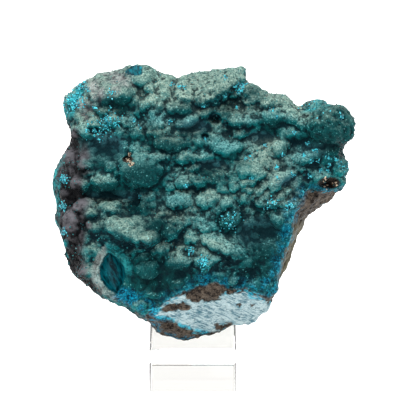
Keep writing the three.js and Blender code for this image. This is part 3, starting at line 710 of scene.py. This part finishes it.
# %% Blue masks
blue = area(points, BLUE_BAND, 1.0, 1.2, 1.8, 17) * ramp(noise_at(points, 2.2, 19), -0.75, 0.1)
blue_right = area(points, BLUE_RIGHT, 1.2, 1.6, 2.2, 18) * ramp(noise_at(points, 1.8, 21), -0.6, 0.3)
crust_end = np.maximum(inside_depth(points, BROKEN_BOTTOM), inside_depth(points, BROKEN_RIGHT) - 1)
blue_edge = ramp(crust_end + 1.5 * noise_at(points, 2.5, 23), -4.5, -0.5) * front
blue_edge *= ramp(noise_at(points, 1.6, 24), -0.6, 0.5) * (0.3 + 0.7 * ramp(points[:, 0], -9, 4))
blue = np.maximum(blue, np.maximum(0.75 * blue_right, 0.75 * blue_edge)) * facing_front
bottom_teal = area(points, BOTTOM_TEAL, 0.5, 1.0, 1.4, 31) * ramp(noise_at(points, 1.3, 32), -0.1, 0.4)
blue = np.maximum(blue, 0.8 * bottom_teal * facing_front)
print("share of blue:", round(float(blue.mean()), 3))

# %% [markdown]
# ## Rims and pale rock
# Thin cyan rims run where one skin of the bottom break ends and the next begins: a soft mask times its own
# complement is high only there. The lower right break and parts of the back are a paler, greyer rock.

# %% Rims and pale rock masks
white_edge = area(points, WHITE_FIBRES, 1.3, 1.2, 1.8, 11)
patch_edge = brown_patches(0.9)
rims = 4 * np.maximum.reduce([
    0.7 * broken * (1 - broken),
    0.3 * patch_edge * (1 - patch_edge) * broken,
    white_edge * (1 - white_edge) * broken,
])
rims *= ramp(noise_at(points, 1.4, 22), -0.3, 0.35) * facing_front * (1 - patches)
pale_break = broken * (inside_depth(points, BROKEN_RIGHT) > -2) * (1 - ramp(points[:, 2], 38, 46))
pale_back = back * ramp(noise_at(points, 8, 35) + 0.5 * noise_at(points, 3, 36), -0.6, 0.5)
pale_break = np.maximum(pale_break, pale_back * (1 - facing_front))
print("share of rims:", round(float(rims.mean()), 3), "pale rock:", round(float(pale_break.mean()), 3))

# %% [markdown]
# ## Broken lump, cut and brown pits
# The broken lump has a dark glassy hollow and a shell round it, white on its left and paler teal at the upper
# right. Two of the pits are lined with brown.

# %% Hollow, shell and pit masks
BROWN_PITS = (PITS[0], PITS[3])
seen = (points[:, 1] < 20) * (normals[:, 1] < 0.5)
spindle = 1.0 * (spindle_share(points) < 1.0) * seen
split = 1.0 * (inside_depth(points, SPLIT_FACE) > 0) * (np.abs(points[:, 1] - split_plane(points)) < 0.35)
shell = ramp(spindle_share(points, SHELL_WIDTH), 1.05, 0.9) * (1 - spindle) * seen
across, along = spindle_frame(points)
white_shell = shell * ramp(across, 0.5, -1.5)
pale_shell = shell * (1 - ramp(across, 0.5, -1.5)) * ramp(along, -5, 0)
pits = np.zeros(len(points))
for x, z, half_width, half_height, _ in BROWN_PITS:
    away = np.hypot((points[:, 0] - x) / half_width, (points[:, 2] - z) / half_height)
    pits = np.maximum(pits, ramp(away, 1.1, 0.8) * seen)
rock = np.maximum(rock, pits)
print("points in hollow and cut:", int(spindle.sum()), int(split.sum()))

# %% [markdown]
# ## Store the masks
# Each attribute holds three masks as its red, green and blue. The relief masks say how far a point stands out from
# its surroundings, close by and in a wider ring, and how far it looks up once the stone leans back.

# %% Relief
NEAR_ROUNDS = 8
WIDE_ROUNDS = 90


def relief_of(mesh, points, normals, rounds):
    """How far each point stands out from its smoothed surroundings; more rounds take in a wider ring."""
    ends = np.empty(len(mesh.edges) * 2, np.int32)
    mesh.edges.foreach_get("vertices", ends)
    first, second = ends.reshape(-1, 2).T
    total = len(points)
    neighbours = np.bincount(first, minlength=total) + np.bincount(second, minlength=total)
    soft = points.copy()
    for _ in range(rounds):
        sums = [np.bincount(first, soft[second, axis], total) + np.bincount(second, soft[first, axis], total)
                for axis in range(3)]
        soft = 0.5 * soft + 0.5 * np.stack(sums, axis=1) / np.maximum(neighbours, 1)[:, None]
    return ((points - soft) * normals).sum(axis=1)


near_relief = relief_of(skin.data, points, normals, NEAR_ROUNDS)
wide_relief = relief_of(skin.data, points, normals, WIDE_ROUNDS)
for name, relief in (("near", near_relief), ("wide", wide_relief)):
    print(name, "relief in mm, 5, 50 and 95 of 100:", np.percentile(relief, [5, 50, 95]))

# %% Store the masks
stored = {}


def store(name, channels):
    stored[name] = np.ones((len(points), 4), np.float32)
    for index, channel in enumerate(channels):
        stored[name][:, index] = np.clip(channel, 0, 1)
    attribute = skin.data.color_attributes.new(name, "FLOAT_COLOR", "POINT")
    attribute.data.foreach_set("color", stored[name].ravel())


store("rock_white_purple", (rock, white, purple * front))
store("turquoise_blue_spindle", (turquoise, blue, np.maximum(spindle, split)))
store("shells", (white_shell, pale_shell, pits))
store("rims_break_pinkish", (rims, pale_break, pinkish * front))
calm_here = spots(points, SMOOTH_BASINS)
# The relief and upward masks drive the painted shade, sheen and glints of the crust and the purple lumps.
store("near_wide_upward", (
    ramp(near_relief, -0.12, 0.16), ramp(wide_relief, -0.8, 0.9),
    0.5 + 0.5 * (normals[:, 2] * math.cos(LEAN) - normals[:, 1] * math.sin(LEAN)),
))
store("calm_dust_sheen_dark", (calm_here, spots(points, DUST_AND_SHEEN_SPOTS, 0.8), spots(points, DARK_SPOTS, 0.7)))
cool = spots(points, COOL_SPOTS, 0.8)
store("cool", (cool, cool, cool))
print("attributes:", list(stored))

# %% [markdown]
# ## Grains and small crystals
# Chrysocolla that is coated by tiny crystals glitters. Three kinds are set on the skin: thousands of faceted grains
# that are only a few tenths of a millimetre wide, small turquoise crystals in tufts where the photograph shows
# bright specks, and cream ones in two of the pits. A small tuft is X and Z, a big one X, Z, spread and count.

# %% Where the crystals sit
TUFTS = [
    (-7.1, 88.2), (-4.4, 87.5), (-3, 87.2), (3.5, 80.7), (11, 84.1), (11, 90.6), (14.4, 87.9), (15.4, 85.8),
    (16.8, 86.2), (15.1, 80.4), (17.8, 63), (19.8, 63.7), (38.6, 68.1), (41.7, 65.7), (46.1, 63.7), (30.4, 64),
    (37.9, 63.7), (45.8, 58.9), (28.4, 60.3), (40, 62), (28.7, 56.5), (27, 79.4), (28.4, 77.3), (36.9, 51.7),
    (-2.3, 53.8), (4.5, 69.5), (-36.1, 72.5), (-33.7, 72.5), (-29.6, 76.3), (-28.6, 74.6), (-26.2, 74.9),
    (-19.7, 75.9), (-18, 73.6), (-33, 80.4), (-35.7, 86.5), (-37.1, 89.2), (-7.8, 75.6), (-18, 50.4),
    (43.4, 59.2), (39.6, 57.2), (34.5, 71.8), (48.8, 62.6), (50.2, 77), (46.4, 60.9), (19.8, 56.5), (34, 57.5),
    (24.5, 67.5), (42.5, 62.2),
]
BIG_TUFTS = [
    (-0.6, 32, 1.2, 30), (3.6, 27.9, 2.2, 60), (-40.5, 82.5, 3.6, 130), (-38, 86.5, 3, 70),
    (-31, 73.6, 4.5, 60), (-27.5, 85.5, 2.6, 14), (-27.5, 76, 4, 40), (-44.2, 56, 1.6, 60),
    (-44.4, 47, 1.6, 60), (-44, 38, 1.4, 40), (50, 77, 2, 6), (41, 81.5, 4.5, 26), (51, 60.5, 2.2, 12),
    (16.5, 88, 1.6, 40), (32.5, 47, 1.6, 40), (26.3, 48, 2.4, 26), (12.8, 41.6, 3.2, 44),
]
CREAM_TUFTS = [
    (-22, 62.6, 0.9, 9), (-20.8, 61.6, 0.9, 12), (-21.4, 64.6, 0.6, 6), (48.3, 54.8, 1.0, 12),
    (45.6, 53.7, 1.0, 6), (44.6, 55.8, 0.8, 5),
]
print("small tufts:", len(TUFTS), "big tufts:", len(BIG_TUFTS), "cream tufts:", len(CREAM_TUFTS))

# %% [markdown]
# ## One grain and one crystal
# A grain is an icosphere with twenty flat faces, and a crystal a blunt six-sided cone, both from the add menu. At
# this size more faces wouldn't show.

# %% Model one of each


def mesh_of_new_object():
    made = bpy.context.object.data.copy()
    bpy.data.objects.remove(bpy.context.object)
    return made


def spread_copies(name, mesh, matrices):
    """One object that holds a copy of the mesh for each matrix."""
    base = points_of(mesh)
    faces = [list(face.vertices) for face in mesh.polygons]
    corners = np.concatenate([base @ np.array(m.to_3x3()).T + np.array(m.translation) for m in matrices])
    shifted = [[corner + len(base) * copy for corner in face] for copy in range(len(matrices)) for face in faces]
    made = bpy.data.meshes.new(name)
    made.from_pydata(corners.tolist(), [], shifted)
    piece = bpy.data.objects.new(name, made)
    bpy.context.collection.objects.link(piece)
    return piece


def any_turn():
    axis = Vector(rng.normal(size=3))
    return Matrix.Rotation(rng.uniform(0, 2 * math.pi), 4, axis)


bpy.ops.mesh.primitive_ico_sphere_add(subdivisions=1, radius=1)
grain_mesh = mesh_of_new_object()
bpy.ops.mesh.primitive_cone_add(vertices=6, radius1=1, radius2=0.55, depth=2.6)
crystal_mesh = mesh_of_new_object()
print("faces of a grain:", len(grain_mesh.polygons), "of a crystal:", len(crystal_mesh.polygons))

# %% [markdown]
# ## Scatter the grains
# Grains go on points of the crust's front, less often where it is smooth. Each takes over the masks of the point
# that it sits on, so that it gets the same colour.

# %% Grains
GRAINS = 6000
GRAIN_RADIUS = (0.15, 0.34)
GRAIN_RISE = 0.15  # how far its middle stands out, as a share of its radius
open_crust = (front > 0.6) & (turquoise < 0.5) & (normals[:, 1] < 0.1)
crusty = np.flatnonzero(open_crust & (spindle < 0.1) & (split < 0.1))
chance = 1 - 0.75 * spots(points[crusty], SMOOTH_BASINS + SMOOTH_LUMPS)
chosen = rng.choice(crusty, GRAINS, replace=False, p=chance / chance.sum())
places = []
for index in chosen:
    radius = GRAIN_RADIUS[0] + (GRAIN_RADIUS[1] - GRAIN_RADIUS[0]) * rng.random() ** 2
    radius *= 1 - 0.4 * float(calm_here[index])
    place = Vector(points[index] + normals[index] * radius * GRAIN_RISE)
    places.append(Matrix.Translation(place) @ any_turn() @ Matrix.Scale(radius, 4))
grains_piece = spread_copies("crust_grains", grain_mesh, places)
for name, values in stored.items():
    attribute = grains_piece.data.color_attributes.new(name, "FLOAT_COLOR", "POINT")
    attribute.data.foreach_set("color", np.repeat(values[chosen], len(grain_mesh.vertices), axis=0).ravel())
print("grains:", len(chosen))

# %% [markdown]
# ## Plant the crystals
# Each crystal stands where a straight line from the front meets the skin, and leans a little away from the
# surface's own direction, as crystals in a tuft do.

# %% Crystals
CRYSTALS_PER_TUFT = 9
TUFT_RADIUS = 0.7
CRYSTAL_HALF_WIDTH = (0.16, 0.36)
CRYSTAL_LENGTH = (0.7, 1.5)
tree = surface_tree(skin)


def tufts_of_crystals(name, tufts):
    places = []
    for x, z, spread, count in tufts:
        for _ in range(count):
            point, normal = front_at(tree, x + rng.normal() * spread / 2, z + rng.normal() * spread / 2)
            if point is None:
                continue
            half = rng.uniform(*CRYSTAL_HALF_WIDTH)
            along = (normal + 0.5 * Vector(rng.normal(size=3))).to_track_quat("Z", "Y").to_matrix().to_4x4()
            size = Matrix.Diagonal((half, half, half * rng.uniform(*CRYSTAL_LENGTH), 1))
            places.append(Matrix.Translation(point) @ along @ size)
    return spread_copies(name, crystal_mesh, places)


small_tufts = [(x, z, TUFT_RADIUS, CRYSTALS_PER_TUFT) for x, z in TUFTS]
crystals_piece = tufts_of_crystals("turquoise_crystals", small_tufts + BIG_TUFTS)
cream_piece = tufts_of_crystals("cream_crystals", CREAM_TUFTS)
print("crystal faces:", len(crystals_piece.data.polygons))

# %% [markdown]
# ## Put the stone on its block
# The skin goes back to the world's frame and metres. The foot has to be flat where it meets the block, and no
# point may pass the solid model's box.

# %% Stone into the world
low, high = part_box("chrysocolla_specimen")
for piece in (skin, grains_piece, crystals_piece, cream_piece):
    piece.data.transform(stone_to_world)
    points = points_of(piece.data)
    kept = np.clip(points, np.array(low), np.array(high))
    print(piece.name, "points held at the solid's box:", int((np.abs(points - kept).max(axis=1) > 1e-6).sum()))
    piece.data.vertices.foreach_set("co", kept.astype(np.float32).ravel())
    piece.data.update()
bpy.context.view_layer.objects.active = skin
skin.select_set(True)
bpy.ops.object.shade_smooth()
skin.select_set(False)

# %% [markdown]
# ## Materials
# The materials are made of shader nodes. Short helpers add a node, set its values and link it, so that each line
# below reads as one decision about the look.

# %% Node helpers


def new_material(name):
    material = bpy.data.materials.new(name)
    material.use_nodes = True
    material.node_tree.nodes.clear()
    return material


class Nodes:
    """Short calls that add a shader node, set its values and link its inputs."""

    def __init__(self, material):
        self.tree = material.node_tree

    def add(self, kind, links=None, **settings):
        node = self.tree.nodes.new(kind)
        for name, value in settings.items():
            setattr(node, name, value)
        for socket, value in (links or {}).items():
            if isinstance(value, bpy.types.NodeSocket):
                self.tree.links.new(value, node.inputs[socket])
            else:
                node.inputs[socket].default_value = value
        return node

    def noise(self, coordinates, scale, detail=4.0, roughness=0.6):
        links = {"Vector": coordinates, "Scale": scale, "Detail": detail, "Roughness": roughness}
        return self.add("ShaderNodeTexNoise", links).outputs["Fac"]

    def cells(self, coordinates, scale):
        return self.add("ShaderNodeTexVoronoi", {"Vector": coordinates, "Scale": scale}).outputs["Distance"]

    def stretched_noise(self, coordinates, turn, lengths, detail=4.0, roughness=0.65):
        """Noise drawn out into streaks: lengths is the size of its grain along X, Y and Z."""
        links = {"Vector": coordinates, "Rotation": (0, math.radians(turn), 0), "Scale": lengths}
        streaked = self.add("ShaderNodeMapping", links, vector_type="TEXTURE").outputs["Vector"]
        return self.noise(streaked, 1.0, detail, roughness)

    def span(self, value, low, high, to_low=0.0, to_high=1.0):
        links = {"Value": value, "From Min": low, "From Max": high, "To Min": to_low, "To Max": to_high}
        return self.add("ShaderNodeMapRange", links, interpolation_type="SMOOTHSTEP").outputs["Result"]

    def math(self, operation, first, second=0.0):
        return self.add("ShaderNodeMath", {0: first, 1: second}, operation=operation).outputs["Value"]

    def mix(self, factor, first, second):
        links = {"Factor": factor, 6: first, 7: second}
        return self.add("ShaderNodeMix", links, data_type="RGBA").outputs[2]

    def mask(self, attribute, channel):
        read = self.add("ShaderNodeVertexColor", layer_name=attribute)
        return self.add("ShaderNodeSeparateColor", {"Color": read.outputs["Color"]}).outputs[channel]

    def total(self, *parts):
        """A weighted sum: each part is a value and its weight."""
        result = 0.0
        for value, weight in parts:
            result = self.math("ADD", result, self.math("MULTIPLY", value, weight))
        return result

    def surface(self, values):
        shader = self.add("ShaderNodeBsdfPrincipled", values)
        self.add("ShaderNodeOutputMaterial", {"Surface": shader.outputs["BSDF"]})


def tone(red, green, blue):
    """A colour given as it looks on a screen, from 0 to 255, as the linear values a shader takes."""
    parts = [value / 255 for value in (red, green, blue)]
    return tuple(p / 12.92 if p <= 0.04045 else ((p + 0.055) / 1.055) ** 2.4 for p in parts) + (1.0,)


# %% [markdown]
# ## The stone's material
# One material carries every kind of surface, mixed by the masks. It starts from noise of four sizes and a cell
# pattern, because no part of the real stone has one even colour.

# %% Noise and masks for the stone
stone_material = new_material("chrysocolla_crust_and_rock")
n = Nodes(stone_material)
place = n.add("ShaderNodeTexCoord").outputs["Object"]
coarse = n.noise(place, 70.0, 4.0, 0.6)
medium = n.noise(place, 230.0, 4.0, 0.6)
fine = n.noise(place, 700.0, 4.0, 0.7)
grain = n.noise(place, 1700.0, 2.0, 0.7)
grains = n.cells(place, 1000.0)
near = n.mask("near_wide_upward", "Red")
wide = n.mask("near_wide_upward", "Green")
upward = n.mask("near_wide_upward", "Blue")
calm = n.mask("calm_dust_sheen_dark", "Red")
dust_and_sheen_place = n.mask("calm_dust_sheen_dark", "Green")
dark_place = n.mask("calm_dust_sheen_dark", "Blue")
white_place = n.mask("rock_white_purple", "Green")

# %% [markdown]
# ## Crust
# The crust is dark teal with clearer teal and slate patches. Its shade is painted in: creases, hollows and what
# looks down go black teal, and raised points are a little clearer. What looks up gets a pale, satin grey-green
# bloom, cooler in places, that is partly dust and partly painted sheen. Now and then a pale cyan speck is a painted
# glint.

# %% Crust colour
black_teal = tone(1, 25, 32)
deep_teal = tone(3, 70, 74)
clear_teal = tone(10, 120, 122)
slate = tone(50, 92, 102)
# Bloom colours, partly dust and partly painted satin sheen.
thin_bloom_and_sheen = tone(86, 116, 108)
full_bloom_and_sheen = tone(143, 164, 151)
thin_cool_bloom_and_sheen = tone(34, 104, 110)
full_cool_bloom_and_sheen = tone(100, 164, 165)
# A pale cyan for painted glints.
painted_glint = tone(120, 206, 206)

# Painted shade: creases, hollows and what looks down go from deep teal to black teal, mixed with a random mottle.
shade_and_mottle_level = n.total((near, 0.25), (wide, 0.3), (upward, 0.5), (medium, 0.8), (fine, 0.6))
crust = n.mix(n.span(shade_and_mottle_level, 0.95, 1.6), black_teal, deep_teal)
# Clearer teal patches at random, a little more on raised points, a slight painted highlight.
crust = n.mix(n.span(n.total((coarse, 1.0), (fine, 0.5), (near, 0.2)), 0.75, 1.15, 0.0, 0.8), crust, clear_teal)
crust = n.mix(n.span(n.total((calm, 0.6), (coarse, 0.7), (fine, 0.4)), 0.75, 1.25, 0.0, 0.7), crust, slate)
crust = n.mix(n.math("MULTIPLY", dark_place, 0.8), crust, tone(2, 42, 43))
# Partly dust, partly painted sheen: what looks up and stands out gets the pale bloom, more in the listed spots.
dust_and_sheen_level = n.total((upward, 1.5), (near, 0.12), (wide, 0.1), (coarse, 0.7), (medium, 0.6), (grain, 0.5),
                     (dust_and_sheen_place, 0.3), (dark_place, -0.5))
bloom_and_sheen = n.mix(n.span(n.total((fine, 0.6), (grain, 0.4)), 0.4, 0.62), thin_bloom_and_sheen, full_bloom_and_sheen)
cool_bloom_and_sheen = n.mix(n.span(grain, 0.4, 0.6), thin_cool_bloom_and_sheen, full_cool_bloom_and_sheen)
bloom_and_sheen = n.mix(n.math("MULTIPLY", n.mask("cool", "Red"), 0.75), bloom_and_sheen, cool_bloom_and_sheen)
crust = n.mix(n.span(dust_and_sheen_level, 1.72, 2.9, 0.0, 0.95), crust, bloom_and_sheen)
# Painted shade: the deepest creases go black teal.
crust = n.mix(n.span(near, 0.22, 0.0, 0.0, 0.75), crust, black_teal)
crust = n.mix(n.span(grain, 0.48, 0.34, 0.0, 0.45), crust, black_teal)
# Painted glints: pale cyan specks on raised points stand in for glints of light.
painted_glints = n.math("MULTIPLY", n.span(grain, 0.62, 0.7), n.span(n.total((medium, 1.0), (near, 0.3)), 0.66, 0.8))
crust = n.mix(n.math("MULTIPLY", painted_glints, 0.6), crust, painted_glint)
print("shader nodes for the crust:", len(stone_material.node_tree.nodes))

# %% [markdown]
# ## The other skins
# Each of the other skins runs from a dark to a light tone along a mottle of its own: purple-brown lumps, pinkish
# film, turquoise, two blues, brown and pale rock, white fibres drawn out along one direction, the shell of the
# broken lump and its hollow. The purple-brown lumps also carry painted shade and highlight, darker in hollows and
# on what looks down, and the pale rock a slight painted shade in its hollows.

# %% Colours of the other skins
mottle = n.total((medium, 0.5), (fine, 0.3), (grain, 0.2))
# Painted shade and highlight: the purple-brown lumps are near black in hollows and on what looks down, and lighter
# where they look up and stand out, with a random mottle.
purple_shade_and_mottle_level = n.total((upward, 1.0), (near, 0.1), (wide, 0.3), (coarse, 0.8), (mottle, 1.2))
purple_rock = n.mix(n.span(purple_shade_and_mottle_level, 1.65, 2.5), tone(2, 3, 6), tone(92, 91, 96))
pinkish_skin = n.mix(n.span(mottle, 0.42, 0.58), tone(70, 72, 76), tone(150, 148, 148))
turquoise_skin = n.mix(n.span(mottle, 0.42, 0.6), tone(2, 40, 46), tone(36, 144, 148))
crystal_level = n.total((fine, 0.5), (grain, 0.5))
blue_skin = n.mix(n.span(crystal_level, 0.42, 0.62), tone(0, 38, 54), tone(10, 140, 172))
cyan_skin = n.mix(n.span(crystal_level, 0.4, 0.58), tone(0, 84, 108), tone(50, 186, 210))
cracks = n.stretched_noise(place, -15, (0.0014, 0.0014, 0.0045))
# A slight painted shade: raised points of the pale rock are a little lighter, hollows a little darker.
rock_mottle_and_shade_level = n.total((coarse, 0.3), (medium, 0.25), (cracks, 0.2), (fine, 0.2), (grain, 0.1), (near, 0.08),
                     (wide, 0.1))
crisp_level = n.total((cracks, 0.3), (medium, 0.15), (fine, 0.3), (grain, 0.25))
brown_rock = n.mix(n.span(crisp_level, 0.43, 0.6), tone(16, 12, 11), tone(98, 87, 76))
pale_rock = n.mix(n.span(rock_mottle_and_shade_level, 0.48, 0.74), tone(24, 21, 16), tone(100, 96, 78))
brown_rock = n.mix(n.mask("rims_break_pinkish", "Green"), brown_rock, pale_rock)
fibres = n.stretched_noise(place, 30, (0.005, 0.0015, 0.0004))
streaks = n.total((fibres, 0.5), (medium, 0.25), (fine, 0.25))
white_skin = n.mix(n.span(streaks, 0.42, 0.56), tone(70, 114, 128), tone(184, 205, 208))
white_skin = n.mix(n.span(n.noise(place, 900.0, 2.0, 0.5), 0.64, 0.7, 0.0, 0.7), white_skin, tone(34, 66, 74))
shell_skin = n.mix(n.span(mottle, 0.4, 0.58), tone(52, 62, 62), tone(168, 176, 172))
spindle_skin = n.mix(n.span(n.total((fibres, 0.5), (fine, 0.5)), 0.4, 0.62), tone(2, 34, 46), tone(10, 104, 118))

# %% Mix the skins
SKINS = [  # attribute, channel, how strong the skin gets, and its colour; later ones lie over earlier ones
    ("rims_break_pinkish", "Blue", 0.6, pinkish_skin),
    ("rock_white_purple", "Blue", 1, purple_rock),
    ("rock_white_purple", "Red", 1, brown_rock),
    ("turquoise_blue_spindle", "Red", 1, turquoise_skin),
    ("turquoise_blue_spindle", "Green", 1, blue_skin),
    ("rock_white_purple", "Green", 1, white_skin),
    ("rims_break_pinkish", "Red", 1, cyan_skin),
    ("shells", "Blue", 0.75, tone(14, 10, 10)),
    ("shells", "Red", 0.55, shell_skin),
    ("shells", "Green", 0.7, turquoise_skin),
    ("turquoise_blue_spindle", "Blue", 1, spindle_skin),
]
colour = crust
for attribute, channel, strength, skin_colour in SKINS:
    colour = n.mix(n.math("MULTIPLY", n.mask(attribute, channel), strength), colour, skin_colour)

height = n.total((fine, 0.9), (grain, 0.45), (grains, 0.2), (fibres, n.math("MULTIPLY", white_place, 0.8)))
bump = n.add("ShaderNodeBump", {"Strength": 0.9, "Distance": 0.0014, "Height": height})
n.surface({
    "Base Color": colour,
    "Roughness": n.span(medium, 0.3, 0.7, 0.35, 0.6),
    "Specular IOR Level": 0.06,
    "Normal": bump.outputs["Normal"],
})
skin.data.materials.append(stone_material)
print("skins mixed:", len(SKINS), "shader nodes:", len(stone_material.node_tree.nodes))

# %% [markdown]
# ## Glossy breaks
# The flat cut and the hollow of the broken lump are fresh breaks through solid chrysocolla, smooth and dark like
# glass. They get their own shinier material on the faces that lie wholly inside them.

# %% Glossy breaks
glossy_material = new_material("glossy_break")
n = Nodes(glossy_material)
place = n.add("ShaderNodeTexCoord").outputs["Object"]
streaks = n.stretched_noise(place, 70, (0.005, 0.002, 0.0012), 4.0, 0.6)
spots_in_it = n.noise(place, 600.0, 3.0, 0.6)
colour = n.mix(n.span(streaks, 0.4, 0.62), tone(0, 32, 40), tone(4, 86, 97))
colour = n.mix(n.span(spots_in_it, 0.58, 0.7, 0.0, 0.5), colour, tone(20, 132, 146))
bump = n.add("ShaderNodeBump", {"Strength": 0.15, "Distance": 0.0005, "Height": streaks})
n.surface({
    "Base Color": colour, "Roughness": 0.3, "Specular IOR Level": 0.1, "Normal": bump.outputs["Normal"],
})
skin.data.materials.append(glossy_material)
glossy = np.maximum(spindle, split) > 0.5
glossy_faces = [int(all(glossy[corner] for corner in face.vertices)) for face in skin.data.polygons]
skin.data.polygons.foreach_set("material_index", glossy_faces)
print("glossy faces:", sum(glossy_faces))

# %% [markdown]
# ## Grains and crystals
# Most grains wear the stone's own material. About one in five is a glassy teal of its own, which gives the fine
# glitter. The crystals are brighter turquoise, and cream in the brown pits.

# %% Grain and crystal materials


def speckled_material(name, dark, light, scale, roughness, specular):
    material = new_material(name)
    n = Nodes(material)
    place = n.add("ShaderNodeTexCoord").outputs["Object"]
    colour = n.mix(n.span(n.noise(place, scale, 2.0, 0.7), 0.4, 0.62), dark, light)
    n.surface({"Base Color": colour, "Roughness": roughness, "Specular IOR Level": specular})
    return material


GLASSY_SHARE = 0.22
grains_piece.data.materials.append(stone_material)
grains_piece.data.materials.append(
    speckled_material("glassy_grains", tone(2, 56, 62), tone(40, 124, 126), 900.0, 0.12, 0.4))
glassy_grain = rng.random(GRAINS) < GLASSY_SHARE
faces_of_grain = len(grain_mesh.polygons)
grains_piece.data.polygons.foreach_set("material_index", np.repeat(glassy_grain, faces_of_grain).astype(np.int32))
crystals_piece.data.materials.append(
    speckled_material("turquoise_crystals", tone(2, 84, 100), tone(72, 200, 214), 1200.0, 0.15, 0.5))
cream_piece.data.materials.append(
    speckled_material("cream_crystals", tone(70, 52, 38), tone(226, 204, 176), 1500.0, 0.15, 0.5))
print("glassy grains:", int(glassy_grain.sum()))

# %% [markdown]
# ## The clear block
# Small display blocks are cut from clear acrylic and polished. The solid model's block has the right form, so
# only its material changes: full transmission with acrylic's index of refraction.

# %% Block material
block_material = new_material("clear_acrylic")
n = Nodes(block_material)
n.surface({
    "Base Color": (1.0, 0.99, 0.96, 1.0),
    "Roughness": 0.02,
    "IOR": 1.49,
    "Transmission Weight": 1.0,
})
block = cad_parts["display_block"]
block.data.materials.clear()
block.data.materials.append(block_material)
print("faces of the block:", len(block.data.polygons))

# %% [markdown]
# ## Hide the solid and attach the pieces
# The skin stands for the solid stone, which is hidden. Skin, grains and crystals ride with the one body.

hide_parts("chrysocolla_specimen")
for piece in (skin, grains_piece, crystals_piece, cream_piece):
    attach(piece, "root")
    print("declared:", piece.name)

# %% [markdown]
# ## Floor, light and camera
# The photograph's floor is white all round and through the clear block, which a lit white sheet can't give without
# a grey block. So the floor is a softly glowing table, like a light table for slides. One broad soft light hangs
# above and a weak one stands in front.

# %% Floor
FLOOR_HALF = 2.0
FLOOR_TONE = 0.55
FLOOR_GLOW = 0.85
FLOOR_GAP = 0.0002  # keeps the clear block's underside from lying exactly in the floor


def light_table_material(name, grey, glow):
    material = new_material(name)
    Nodes(material).surface({
        "Base Color": (grey, grey, grey, 1), "Roughness": 0.9,
        "Emission Color": (1, 1, 1, 1), "Emission Strength": glow,
    })
    return material


bpy.ops.mesh.primitive_plane_add(size=2 * FLOOR_HALF, location=(0, 0, -FLOOR_GAP))
floor = bpy.context.object
floor.name = "floor"
floor.data.materials.append(light_table_material("pale_floor", FLOOR_TONE, FLOOR_GLOW))
print("the floor lies", FLOOR_GAP, "m under the block")

# %% Lights
LIT_PLACE = (0, 0, 0.06)
SKY_STRENGTH = 0.95


def area_light(name, place, size, power):
    data = bpy.data.lights.new(name, "AREA")
    data.size = size
    data.energy = power
    light = bpy.data.objects.new(name, data)
    light.location = place
    light.rotation_euler = (Vector(LIT_PLACE) - Vector(place)).to_track_quat("-Z", "Y").to_euler()
    bpy.context.collection.objects.link(light)


area_light("overhead", (-0.2, -0.1, 1.6), 1.6, 48)
area_light("front_fill", (0.4, -1.3, 0.7), 0.8, 2)
world = bpy.data.worlds.new("studio")
world.use_nodes = True
sky = world.node_tree.nodes["Background"].inputs
sky["Color"].default_value = (1, 1, 1, 1)
sky["Strength"].default_value = SKY_STRENGTH
bpy.context.scene.world = world
bpy.context.scene.view_settings.view_transform = "Standard"
print("lights:", [lamp.name for lamp in bpy.data.lights])

# %% [markdown]
# ## Camera
# The camera looks down by the same 25 degrees as the stone leans back, so it sees the crust squarely, as in the
# photograph. A long lens from over a metre away keeps the block's edges nearly parallel.

# %% Camera
ELEVATION = math.radians(25)
CAMERA_DISTANCE = 1.2
PICTURE_WIDTH = 0.1364  # what the frame takes in at the crust, in metres
SENSOR = 36.0
PICTURE_MIDDLE = Vector((2.46, 5, 49.0))  # in the stone's frame

camera_data = bpy.data.cameras.new("camera")
camera_data.sensor_width = SENSOR
camera_data.lens = SENSOR * CAMERA_DISTANCE / PICTURE_WIDTH
camera = bpy.data.objects.new("camera", camera_data)
view = Vector((0, math.cos(ELEVATION), -math.sin(ELEVATION)))
camera.location = stone_to_world @ PICTURE_MIDDLE - view * CAMERA_DISTANCE
camera.rotation_euler = view.to_track_quat("-Z", "Y").to_euler()
bpy.context.collection.objects.link(camera)
bpy.context.scene.camera = camera
print("camera at", tuple(camera.location), "lens", round(camera_data.lens, 1))
